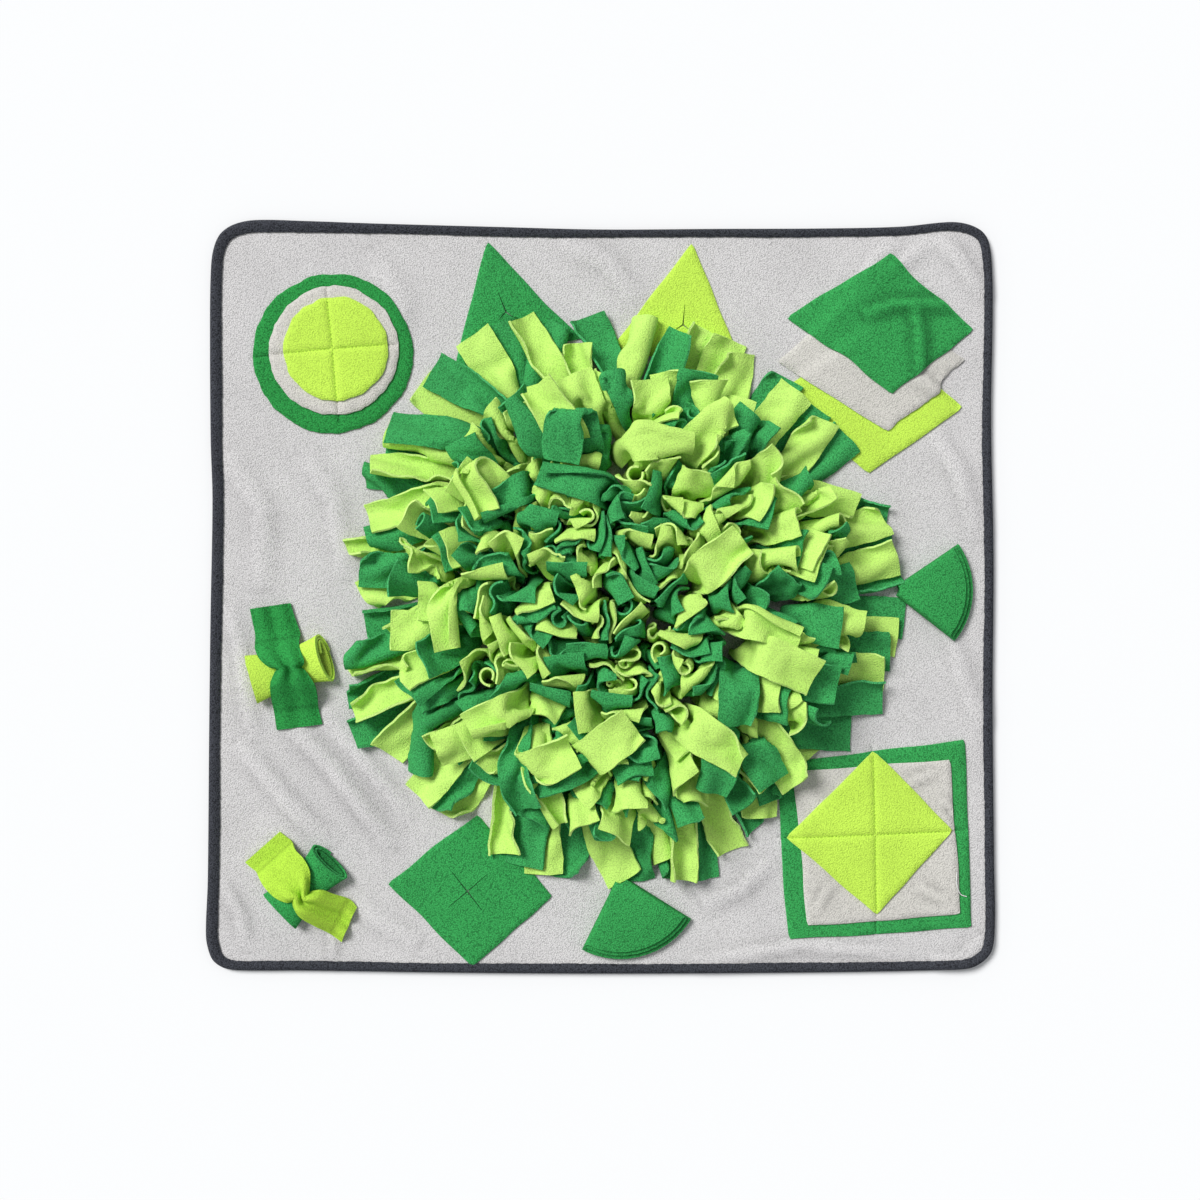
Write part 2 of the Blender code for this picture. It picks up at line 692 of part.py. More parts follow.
def make_pile():
    """Rings of strips: the outer ones lie down on the mat, and the inner ones stand and lean outwards."""
    rings = (
        Ring(1, "fleece_lime", 0.009, 3, 0.014, 0.036, 0.009, 0.058, 0.019, 0.058, 8.0, 3),
        Ring(2, "fleece_green", 0.023, 6, 0.021, 0.036, 0.025, 0.060, 0.036, 0.058, 12.0, 3),
        Ring(3, "fleece_lime", 0.037, 9, 0.023, 0.036, 0.040, 0.060, 0.051, 0.058, 12.0, 3),
        Ring(4, "fleece_green", 0.051, 12, 0.025, 0.035, 0.055, 0.060, 0.066, 0.057, 11.0, 3),
        Ring(5, "fleece_lime", 0.065, 15, 0.026, 0.035, 0.071, 0.059, 0.083, 0.056, 10.0, 3),
        Ring(6, "fleece_green", 0.079, 17, 0.028, 0.034, 0.088, 0.057, 0.103, 0.052, 10.0, 3),
        Ring(7, "fleece_lime", 0.095, 20, 0.029, 0.032, 0.110, 0.053, 0.131, 0.046, 9.0, 3),
        Ring(8, "fleece_green", 0.112, 22, 0.030, 0.030, 0.135, 0.048, 0.162, 0.039, 8.0, 3),
        Ring(9, "fleece_lime", 0.129, 24, 0.031, 0.026, 0.160, 0.039, 0.197, 0.031, 6.0, 4),
        Ring(10, "fleece_green", 0.147, 27, 0.033, 0.020, 0.190, 0.0255, 0.230, 0.0165, 5.0, 4),
        Ring(11, "fleece_lime", 0.165, 30, 0.034, 0.014, 0.216, 0.0065, 0.247, REST_HEIGHT, 0.0, 4),
    )
    # Where the outer locks lie on a sewn-on piece they rest on its top, or stop short of it.
    one_sheet = LAYER_PITCH + 2.0 * RIPPLE
    sectors = (
        Sector(0.0, 12.0, 0.0, 0.232),
        Sector(18.0, 132.0, one_sheet, 0.246),
        Sector(226.0, 258.0, one_sheet, 0.246),
        Sector(258.0, 282.0, 0.0, 0.240),
        Sector(296.0, 334.0, one_sheet + LAYER_PITCH, 0.228),
        Sector(348.0, 360.0, 0.0, 0.232),
    )
    for ring in rings:
        lies_down = ring.tip > 0.22
        make_ring(ring, sectors if lies_down else ())


def main():
    clear_scene()
    new_collection("snuffle_mat")
    new_collection("cutters")
    for name, (colour, roughness) in LOOKS.items():
        new_material(name, colour, roughness)
    make_panel()
    make_binding()
    make_discs()
    make_triangles()
    make_flaps()
    make_slit_diamond()
    make_squares()
    make_fans()
    make_left_bow()
    make_bottom_bow()
    make_pile()


main()
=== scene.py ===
"""The looks of the fleece snuffle mat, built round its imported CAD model: metres, +Z up, the mat's
underside at z = 0 and the two triangles towards +Y. Each sheet of fleece is cut as a flat outline and
laid over what lies under it, and the strips of the pile are grown from their sewn roots and settled
against each other by a position-based cloth solver written with numpy."""

import itertools
import math
from collections import namedtuple
from functools import partial

import bpy
import numpy as np
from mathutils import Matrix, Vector
from mathutils.geometry import delaunay_2d_cdt


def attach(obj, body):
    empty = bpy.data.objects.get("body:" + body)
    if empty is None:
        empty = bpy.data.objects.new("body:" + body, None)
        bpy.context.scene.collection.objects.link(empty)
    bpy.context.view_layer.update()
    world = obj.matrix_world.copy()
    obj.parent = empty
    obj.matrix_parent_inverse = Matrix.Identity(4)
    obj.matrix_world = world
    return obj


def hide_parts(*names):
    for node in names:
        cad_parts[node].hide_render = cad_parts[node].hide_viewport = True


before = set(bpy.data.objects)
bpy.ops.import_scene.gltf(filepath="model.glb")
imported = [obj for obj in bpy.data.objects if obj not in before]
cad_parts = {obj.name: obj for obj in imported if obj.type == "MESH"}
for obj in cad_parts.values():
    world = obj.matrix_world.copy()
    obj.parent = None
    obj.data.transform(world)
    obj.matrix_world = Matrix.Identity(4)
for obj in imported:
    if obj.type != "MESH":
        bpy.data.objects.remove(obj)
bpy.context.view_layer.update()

# The photograph: its size in pixels, the mat's size in it, and the camera straight above
PHOTO_SIDE = 1200
PIXEL = 0.0008894
MAT_PIXEL = (600.5, 597.0)
LENS = 50.0
SENSOR = 36.0
CAMERA_HEIGHT = PHOTO_SIDE * PIXEL * LENS / SENSOR

# Heights and thicknesses
PANEL_TOP = 0.004
PANEL_UNDER = 0.0013
FLEECE = 0.0019
TAPE = 0.0010
AIR = 0.0003

# How high above the floor what the photograph shows is: the mat's edge, one sheet, a pair of them,
# three, the loose thread and the middle of a roll's end
EDGE_HEIGHT = 0.003
SHEET_HEIGHT = 0.006
PAIR_HEIGHT = 0.008
STACK_HEIGHT = 0.010
THREAD_HEIGHT = 0.009
ROLL_HEIGHT = 0.012

# What a phase that is drawn at random stays under, and the seeds of what isn't cut from a sheet
ANY_TURN = 6.28
PILE_SEED = 21
CUT_SEED = 8
CURL_SEED = 5
BINDING_SEED = 5

# The colours of the cloths
GREEN = "green"
LIME = "lime"
PALE = "pale"
GREY = "grey"
CHARCOAL = "charcoal"
DEEP_GREEN = "deep_green"
DEEP_LIME = "deep_lime"
PILE_GREEN = "pile_green"
PILE_LIME = "pile_lime"

# The strips of the pile and the grid of points that each is settled with. A chord is how far apart a
# strip's edges are, as a share of its width
PILE_PIXEL = (624.0, 602.0)
STRIP_WIDTH = 0.036
STRIP_LENGTH = 0.086
ACROSS = 7
ALONG = 15
ROOTED_ROWS = 2
ROOT_HEIGHT = 0.006
ROOT_CHORD = 0.42
RIM_CHORD = 0.95
CROWN_CHORD = 0.93
LEAST_CHORD = 0.5
PILE_TOP = 0.061

# The strips of the rim: the radii of the rows that they are sewn in, the height of their tips, how they
# bow, twist and wave, and how they are stacked
ROOT_ROWS = (0.172, 0.161, 0.150, 0.141)
TIP_ABOVE = 0.004
LAID_BOW = 0.0045
LAID_TWIST = 0.55
LAID_SWING = 0.55
LAID_WAVE = 0.0030
LAID_WAVES = 8.0
LIFTED_ROW = 3.0
FIRST_LIFT = 0.002
STACK_GAP = 0.0060
STACK_REACH = 0.0055

# The strips of the crown: where they are rooted, and how they stand up and lie over
CROWN_ROOTS = 0.131
HELD_UP = 0.022
LEAN_IN = 0.022
ROOT_RISE = 0.02
OVER_BEND = 0.4
TIP_DROOP = 0.008
FLOPPED_SWING = 0.95
FLOPPED_TWIST = 0.65

# The strips of the rings: how they are gathered at their roots, and the pairs that share one
ROOT_TURN = 4.4
ROOT_SWING = 1.75
TWIN_SHARE = 0.62
TWIN_GAP = 0.005

# How the strips' cut edges wander and curl
CUT_WANDER = 0.0007
END_WANDER = 0.0012
EDGE_CURL = 0.0045
CURL_FROM = 0.35
CURL_OVER = 0.5
CURL_WAVES = (1.2, 2.6)

# How the sheets are meshed and cut, and the slits in them
NET = 0.0045
PANEL_NET = 0.0050
EDGE_STEP = 0.0028
EDGE_ROUND = 0.0004
CORNER_CUT = 0.0010
SIDE_WANDER = 0.0012
DISC_WANDER = 0.0006
SNIP_TURN = 0.3
SNIP_REACH = (0.995, 1.015)
SLIT_GAP = 0.0008
SLIT_TAPER = 0.0015
SLIT_END = 0.45
LIP = 0.0010
LIP_WIDTH = 0.0030

# The seams: how they draw the cloth in, and their stitches; and the loose thread
DITCH = 0.0014
DITCH_WIDTH = 0.0014
STITCH_PITCH = 0.0032
STITCH_COVER = 0.78
STITCH_START = 0.11
STITCH_RISE = 0.0005
STITCH_RADIUS = 0.00032
STITCH_RINGS = 5
STITCH_SIDES = 5
THREAD_RADIUS = 0.00045
THREAD_ABOVE = (0.0, 0.0012, 0.0016, 0.0006)
THREAD_POINTS = 22

# The panel and the binding, whose section is given in shares of its width and heights
PANEL_INSET = 0.0018
PANEL_EVERY = 4
EDGE_POINTS = 1400
ROUTE_STEPS = 24
LOOP_STEPS = 40
BINDING_UNDER = 0.0100
BINDING_WANDER = 0.001
BINDING_SWELL = 0.2
BINDING_WAVES = ((13, 0.3), (29, 0.2), (61, 0.2), (97, 0.15), (211, 0.12), (307, 0.15), (419, 0.15))
BINDING_UPPER = (
    (1.0, 0.0), (0.9, 0.0006), (0.72, 0.0014), (0.5, 0.0020), (0.3, 0.0019), (0.12, 0.0008)
)
BINDING_LOWER = (
    (0.02, 0.0038), (0.0, 0.0026), (0.03, 0.0014), (0.14, 0.0007), (0.45, 0.0006), (0.85, 0.0006)
)

# The fans
FAN_ROWS = 14
FAN_PITCH = 0.0030
FAN_START = 0.0060
FAN_LEAST = 0.0008
FAN_SWELL = 0.0012
# How much painted shade the lower layers get, under the upper ones
FAN_PAINTED_SHADE = 1.1

# The rolls: where their seam is, their half heights, how they flare, and their open mouths, with painted
# shade inside them
ROLL_ROWS = 17
ROLL_STEPS = 26
ROLL_SEAM = -1.3
ROLL_END = 0.0082
ROLL_WAIST = 0.0058
ROLL_FLARE = 1.4
ROLL_SLANT = 0.15
ROLL_WAVER = 0.0008
WAVER_TURNS = 0.7
ROLL_PULLED = 0.0006
MOUTH = 0.72
MOUTH_PAINTED_SHADE = (0.75, 2.4)
MOUTH_GROWTH = 4.0

# The straps: their grid, how far they can be gathered, and the painted shade where they are pinched and along
# their creases
RIBBON_ACROSS = 25
RIBBON_ALONG = 49
GATHER_LIMIT = 1.4
PINCH_PAINTED_SHADE = 1.5
PINCH_DEPTH = 0.004
PINCH_FROM = 0.85
PINCH_GROWTH = 2.5
STRAP_CREASE_SHADE = 1.6
CREASE_WIDTH = 0.016

# The fleece's grain, in turns per metre, and how deep it is; and how far painted shade darkens it where the
# painted_shade attribute is 1
CLUMP_SCALE = 830.0
FUZZ_SCALE = 1000.0
WEAR_SCALE = 18.0
GRAIN_DEPTH = 0.0006
CREASE_SHADE = 0.18

# The stage: an even sky, a broad sun from the upper left, and white paper
SKY = (0.94, 0.97, 1.0, 1.0)
SKY_STRENGTH = 0.36
SUN_STRENGTH = 2.95
SUN_SPREAD = 26.0
SUN_FROM = (-0.95, 0.75, 1.25)
PAPER = (0.965, 0.965, 0.965, 1.0)
FLOOR_HALF = 15.0

Laid = namedtuple("Laid", "colour tip_a tip_b root layer")
Flopped = namedtuple("Flopped", "colour tip_a tip_b bend height")


def on_mat(pixel, height=0.0):
    """Where a pixel of the photograph is on the mat, for something this high above the floor."""
    nearness = 1.0 - height / CAMERA_HEIGHT
    middle = PHOTO_SIDE / 2
    x = (pixel[0] - middle) * PIXEL * nearness + (middle - MAT_PIXEL[0]) * PIXEL
    y = (middle - pixel[1]) * PIXEL * nearness + (MAT_PIXEL[1] - middle) * PIXEL
    return np.array((x, y, height))


def smooth(share):
    share = np.clip(share, 0.0, 1.0)
    return share * share * (3.0 - 2.0 * share)


def unit(vector):
    return vector / np.linalg.norm(vector)


def grid_normals(shape):
    """The unit normals of grids of points, along the last two axes but one."""
    down = np.gradient(shape, axis=1)
    over = np.gradient(shape, axis=2)
    normal = np.cross(over, down)
    return normal / (np.linalg.norm(normal, axis=-1, keepdims=True) + 1e-12)


# ---------------------------------------------------------------- the pile's strips, as they are laid out

# The strips of the rim, clockwise from the top left: colour, corners of the tip, root and layer
RIM = [Laid(*strip) for strip in (
    (LIME, (452, 350), (497, 322), (513, 403), 1), (GREEN, (489, 328), (514, 318), (526, 397), 0),
    (LIME, (507, 328), (532, 312), (557, 378), 2), (GREEN, (555, 320), (566, 330), (543, 365), 1),
    (LIME, (562, 339), (592, 346), (583, 395), 1), (GREEN, (572, 318), (602, 312), (622, 391), 2),
    (LIME, (636, 318), (656, 316), (622, 402), 2), (GREEN, (673, 319), (689, 346), (649, 402), 2),
    (LIME, (692, 326), (711, 334), (661, 404), 1), (LIME, (711, 339), (750, 343), (705, 400), 1),
    (LIME, (722, 361), (758, 348), (728, 430), 2), (GREEN, (766, 373), (809, 389), (757, 435), 0),
    (LIME, (773, 381), (822, 404), (762, 440), 1), (GREEN, (801, 401), (828, 416), (776, 455), 0),
    (LIME, (808, 421), (837, 419), (786, 468), 2), (GREEN, (835, 431), (860, 446), (794, 486), 1),
    (LIME, (873, 500), (839, 521), (799, 501), 3), (GREEN, (889, 510), (881, 529), (820, 512), 0),
    (LIME, (870, 511), (898, 531), (819, 538), 1), (GREEN, (886, 534), (892, 562), (825, 547), 0),
    (LIME, (882, 538), (907, 577), (830, 571), 1), (GREEN, (888, 565), (909, 576), (832, 584), 0),
    (GREEN, (904, 600), (905, 637), (837, 612), 0), (LIME, (896, 611), (897, 664), (833, 633), 1),
    (GREEN, (892, 630), (888, 677), (830, 653), 2), (LIME, (879, 651), (892, 697), (826, 674), 3),
    (GREEN, (878, 669), (887, 722), (819, 700), 4), (GREEN, (855, 712), (847, 748), (790, 728), 2),
    (LIME, (822, 758), (797, 752), (786, 738), 1), (LIME, (784, 804), (805, 768), (770, 741), 4),
    (GREEN, (763, 812), (775, 790), (763, 750), 2), (LIME, (748, 815), (768, 822), (748, 762), 1),
    (GREEN, (751, 837), (760, 815), (735, 790), 0), (LIME, (753, 845), (715, 856), (708, 792), 2),
    (GREEN, (713, 876), (692, 877), (697, 808), 0), (LIME, (690, 883), (669, 873), (676, 812), 2),
    (GREEN, (676, 884), (664, 868), (668, 812), 0), (LIME, (669, 847), (658, 866), (643, 815), 1),
    (GREEN, (655, 874), (613, 891), (638, 826), 1), (LIME, (642, 867), (608, 893), (598, 822), 3),
    (GREEN, (552, 883), (577, 870), (578, 812), 0), (LIME, (519, 878), (565, 870), (546, 812), 1),
    (GREEN, (498, 867), (545, 867), (531, 814), 2), (LIME, (495, 857), (513, 850), (507, 791), 3),
    (GREEN, (577, 829), (594, 819), (566, 782), 4), (LIME, (422, 817), (471, 811), (477, 775), 0),
    (GREEN, (421, 815), (455, 804), (464, 772), 1), (LIME, (399, 790), (437, 804), (455, 755), 2),
    (GREEN, (412, 774), (432, 775), (430, 722), 3), (LIME, (366, 745), (407, 762), (426, 711), 2),
    (GREEN, (351, 725), (358, 743), (424, 708), 1), (LIME, (357, 705), (358, 720), (420, 684), 1),
    (GREEN, (345, 699), (352, 690), (417, 672), 0), (GREEN, (343, 668), (352, 658), (404, 640), 2),
    (LIME, (346, 675), (360, 672), (404, 658), 1), (GREEN, (366, 612), (368, 630), (420, 612), 1),
    (LIME, (386, 632), (402, 641), (440, 612), 2), (LIME, (348, 589), (379, 605), (415, 580), 1),
    (GREEN, (344, 583), (374, 557), (414, 564), 2), (LIME, (340, 543), (361, 557), (408, 540), 1),
    (GREEN, (354, 527), (384, 551), (410, 526), 1), (LIME, (353, 504), (383, 536), (419, 506), 2),
    (GREEN, (361, 466), (369, 478), (425, 497), 0), (LIME, (366, 460), (380, 474), (428, 468), 1),
    (GREEN, (388, 452), (388, 440), (450, 456), 0), (LIME, (387, 447), (388, 425), (462, 455), 1),
    (GREEN, (390, 414), (391, 441), (460, 438), 2), (LIME, (414, 399), (431, 371), (478, 424), 1),
    (GREEN, (424, 388), (440, 354), (493, 407), 2),
)]

# The strips that flop over the crown: colour, corners of the tip, bend and height
CROWN = [Flopped(*strip) for strip in (
    (GREEN, (545, 463), (581, 463), (567, 412), 0.048), (LIME, (520, 398), (549, 380), (560, 425), 0.042),
    (GREEN, (496, 406), (522, 403), (534, 432), 0.038), (LIME, (503, 510), (475, 521), (466, 468), 0.046),
    (GREEN, (477, 509), (484, 521), (520, 497), 0.036), (GREEN, (537, 464), (550, 480), (592, 490), 0.044),
    (LIME, (727, 533), (753, 552), (710, 568), 0.050), (LIME, (684, 451), (696, 441), (645, 440), 0.050),
    (LIME, (821, 661), (802, 693), (768, 656), 0.046), (LIME, (799, 627), (795, 646), (750, 620), 0.044),
    (LIME, (744, 753), (735, 770), (703, 735), 0.048), (GREEN, (724, 803), (693, 776), (722, 758), 0.036),
    (LIME, (466, 652), (440, 642), (445, 603), 0.042), (LIME, (567, 735), (580, 758), (530, 770), 0.042),
    (LIME, (612, 710), (650, 743), (598, 750), 0.052), (LIME, (466, 720), (474, 738), (508, 708), 0.040),
    (GREEN, (520, 783), (526, 794), (572, 768), 0.034), (LIME, (573, 820), (556, 824), (538, 783), 0.028),
    (GREEN, (544, 806), (520, 810), (514, 770), 0.030), (LIME, (744, 381), (722, 443), (716, 420), 0.034),
    (GREEN, (750, 724), (722, 730), (735, 688), 0.036),
)]

# Where three strips stand curled up in the crown
CURLED = ((641, 479), (496, 678), (661, 654))

# The strips' ranks, the rings and how far apart roots are, how often a placed strip's edges turn up, how
# much longer a strip of the rim is than its place, and the curled strips
RING_RANK = 10
CROWN_RANK = 20
RING_RADII = (0.146, 0.130, 0.115, 0.100, 0.085, 0.070, 0.055, 0.040, 0.025, 0.009)
ROOT_SPACING = 0.0225
WIDER_SPACING = 0.004
ROOT_CLEARANCE = 0.0115
RIM_CURL_UP = 0.65
CROWN_CURL_UP = 0.7
RIM_SLACK = 1.03
CURLED_HEIGHT = 0.045
CURLED_LIFT = 1.5
CURLED_TURN = 5.2
CURLED_LENGTH = 0.056
CURLED_REACH = 0.058

# How the strips of the rings are drawn at random: spreads, and least and most values
TURN_JITTER = 0.25
PLACE_JITTER = 0.003
MIDDLE_LIFT = 88.0
OUTWARD_LIFT = -44.0
LIFT_JITTER = 0.15
CURL_SHARE = 0.4
CURL_TURN = (0.8, 1.9)
CURL_SWING = (0.4, 0.7)
FLAT_TURN = 0.3
OUTER_AIM = 0.4
INNER_AIM = 2.6
INNER_ROLL = 1.5
OUTER_ROLL = 0.7
OUTER_FROM = 0.8
RING_BOW = (-0.3, 0.6)
OUTWARD_BOW = 0.5
LIME_SHARE = 0.54
RING_LENGTH = (0.060, 0.072)
OUTWARD_LENGTH = 0.008
TWIN_AIM = 0.12
TWIN_JITTER = (0.3, 0.15, 0.2)


def arc_section(turn, swing):
    """The points across a strip whose section turns by this much in all, and swings to an S by that much."""
    middles = (np.arange(ACROSS - 1) + 0.5) / (ACROSS - 1) * 2.0 - 1.0
    heading = turn * middles / 2 + swing * np.cos(math.pi * middles)
    steps = np.stack((np.cos(heading), np.sin(heading)), axis=1) * STRIP_WIDTH / (ACROSS - 1)
    points = np.vstack((np.zeros(2), np.cumsum(steps, axis=0)))
    points -= points.mean(axis=0)
    along = unit(points[-1] - points[0])
    turned = np.array(((along[0], -along[1]), (along[1], along[0])))
    return points @ turned


def turn_for(chord):
    """How far a strip's section turns where its two edges are this far apart."""
    slack = 1.0 - np.clip(chord / STRIP_WIDTH, 0.3, 1.0)
    return 2.0 * np.sqrt(6.0 * slack * (1.0 + 0.25 * slack))


def standing_strip(root, heading, lift, roll, turn, swing, bow, length):
    """A strip that stands on its root: heading and lift aim it, roll turns its section about that line,
    and bow bends it over. Its section is gathered at the root and opens towards the tip."""
    aim = np.array((math.cos(heading) * math.cos(lift), math.sin(heading) * math.cos(lift), math.sin(lift)))
    side = np.array((-math.sin(heading), math.cos(heading), 0.0))
    face = np.cross(aim, side)
    across = side * math.cos(roll) + face * math.sin(roll)
    face = np.cross(aim, across)
    shape = np.zeros((ALONG, ACROSS, 3))
    centre = np.array(root, float)
    step = length / (ALONG - 1)
    for row in range(ALONG):
        share = row / (ALONG - 1)
        gathered = (1.0 - share) ** 2
        turned = turn + (math.copysign(ROOT_TURN, turn) - turn) * gathered if not swing else turn
        swung = swing + (math.copysign(ROOT_SWING, swing) - swing) * gathered if swing else 0.0
        section = arc_section(turned, swung)
        lean = bow * share
        normal = face * math.cos(lean) - aim * math.sin(lean)
        shape[row] = centre + np.outer(section[:, 0], across) + np.outer(section[:, 1], normal)
        centre = centre + step * (aim * math.cos(lean) + face * math.sin(lean))
    return shape


def laid_strip(strip, curl, random):
    """A strip of the rim, level with its root, which is sewn in the row of its layer. It bows and twists
    a little, and its face waves."""
    tip_height = PANEL_TOP + TIP_ABOVE
    tip_a = on_mat(strip.tip_a, tip_height)
    tip_b = on_mat(strip.tip_b, tip_height)
    tip = (tip_a + tip_b) / 2
    ahead = unit(tip - on_mat(strip.root, tip_height))
    centre = on_mat(PILE_PIXEL, tip_height)
    row_radius = ROOT_ROWS[min(strip.layer, len(ROOT_ROWS) - 1)]
    sideways = np.cross(tip - centre, ahead)[2]
    reach = (tip - centre) @ ahead - math.sqrt(max(row_radius ** 2 - sideways ** 2, 0.0))
    reach = min(reach, STRIP_LENGTH)
    start = tip - ahead * reach
    across_root = np.array((-ahead[1], ahead[0], 0.0))
    across_tip = unit(tip_a - tip_b)
    if across_tip @ across_root < 0:
        across_tip = -across_tip
    chord_tip = min(np.linalg.norm(tip_a - tip_b), RIM_CHORD * STRIP_WIDTH)
    bow = random.uniform(-1.0, 1.0) * LAID_BOW
    twist = random.uniform(-1.0, 1.0) * LAID_TWIST
    swing = random.uniform(-1.0, 1.0) * LAID_SWING
    phase = random.uniform(0.0, 2.0 * math.pi)
    shape = np.zeros((ALONG, ACROSS, 3))
    for row in range(ALONG):
        share = row / (ALONG - 1)
        across = unit(across_root * (1.0 - share) + across_tip * share)
        widen = smooth(1.25 * share)
        chord = ROOT_CHORD * STRIP_WIDTH * (1.0 - widen) + max(chord_tip, LEAST_CHORD * STRIP_WIDTH) * widen
        section = arc_section(turn_for(chord), swing * share)
        turned = twist * math.sin(0.5 * math.pi * share)
        level = curl * section[:, 1]
        aside = section[:, 0] * math.cos(turned) - level * math.sin(turned)
        middle = start + ahead * reach * share + across_root * bow * math.sin(math.pi * share)
        shape[row] = middle + np.outer(aside, across)
        shape[row, :, 2] += section[:, 0] * math.sin(turned) + level * math.cos(turned)
    shape[:, :, 2] += ROOT_HEIGHT - shape[:, :, 2].min(axis=1, keepdims=True)
    share = np.arange(ALONG) / (ALONG - 1)
    wave = 1.0 + np.sin(LAID_WAVES * share + phase)
    shape[:, :, 2] += (LAID_WAVE * wave * smooth(2.0 * share))[:, None]
    return shape


def stack_up(shapes, order):
    """Lifts the strips of the rim clear of each other, in this order, their roots staying where they are."""
    climb = smooth(np.arange(ALONG) / LIFTED_ROW)[:, None]
    placed = []
    for number in order:
        mine = shapes[number][ROOTED_ROWS:].reshape(-1, 1, 3)
        lift = FIRST_LIFT
        for other in placed:
            theirs = shapes[other].reshape(1, -1, 3)
            near = np.linalg.norm(mine[:, :, :2] - theirs[:, :, :2], axis=2) < STACK_REACH
            if near.any():
                lift = max(lift, (theirs[:, :, 2] - mine[:, :, 2])[near].max() + STACK_GAP)
        shapes[number][:, :, 2] += lift * climb
        placed.append(number)


def flopped_strip(strip, curl, random):
    """A strip of the crown: it stands up to its bend and then lies over, towards its tip."""
    tip_a = on_mat(strip.tip_a, strip.height)
    tip_b = on_mat(strip.tip_b, strip.height)
    tip = (tip_a + tip_b) / 2
    bend = on_mat(strip.bend, strip.height)
    over = unit(tip - bend)
    across = np.array((-over[1], over[0], 0.0))
    chord_tip = min(np.linalg.norm(tip_a - tip_b), CROWN_CHORD * STRIP_WIDTH)
    swing = random.uniform(-1.0, 1.0) * FLOPPED_SWING
    twist = random.uniform(-1.0, 1.0) * FLOPPED_TWIST
    centre = on_mat(PILE_PIXEL, strip.height)
    root = centre + (bend - over * LEAN_IN - centre)
    outward = np.linalg.norm((root - centre)[:2])
    root = centre + (root - centre) * min(1.0, CROWN_ROOTS / outward)
    root[2] = ROOT_HEIGHT
    bend[2] = strip.height + HELD_UP
    tip[2] = strip.height + HELD_UP - TIP_DROOP
    knots = (root, root + (0, 0, ROOT_RISE), bend, bend + OVER_BEND * (tip - bend), tip)
    route = smooth_route(knots, ALONG)
    heading = np.gradient(route, axis=0)
    heading /= np.linalg.norm(heading, axis=1, keepdims=True)
    shape = np.zeros((ALONG, ACROSS, 3))
    for row in range(ALONG):
        share = row / (ALONG - 1)
        chord = ROOT_CHORD * STRIP_WIDTH * (1.0 - smooth(2.0 * share)) + chord_tip * smooth(2.0 * share)
        section = arc_section(turn_for(chord), swing * share)
        face = np.cross(heading[row], across)
        turned = twist * share
        aside = across * math.cos(turned) + face * math.sin(turned)
        upward = face * math.cos(turned) - across * math.sin(turned)
        shape[row] = route[row] + np.outer(section[:, 0], aside) + np.outer(section[:, 1], upward) * curl
    return shape


def spread_evenly(fine, along, count, **ends):
    """This many points, evenly spaced along a line of many."""
    wanted = np.linspace(0.0, along[-1], count, **ends)
    return np.stack([np.interp(wanted, along, fine[:, axis]) for axis in range(fine.shape[1])], axis=1)


def distances(points):
    """How far along a line each of its points comes."""
    return np.concatenate(((0.0,), np.cumsum(np.linalg.norm(np.diff(points, axis=0), axis=1))))


def smooth_route(knots, count):
    """Evenly spaced points on a smooth curve through a few knots."""
    knots = np.array(knots, float)
    padded = np.vstack((2 * knots[0] - knots[1], knots, 2 * knots[-1] - knots[-2]))
    fine = []
    for number in range(len(knots) - 1):
        before, start, end, after = padded[number : number + 4]
        for share in np.linspace(0.0, 1.0, ROUTE_STEPS, endpoint=False):
            pull = 0.5 * ((end - before) * share + (2 * before - 5 * start + 4 * end - after) * share**2)
            fine.append(start + pull + 0.5 * (3 * start - before - 3 * end + after) * share**3)
    fine.append(knots[-1])
    fine = np.array(fine)
    return spread_evenly(fine, distances(fine), count)


def run(points):
    """The length of a line through these points."""
    return float(np.linalg.norm(np.diff(points, axis=0), axis=1).sum())


def length_of(shape):
    """The length of a strip along its middle."""
    return run(shape.mean(axis=1))


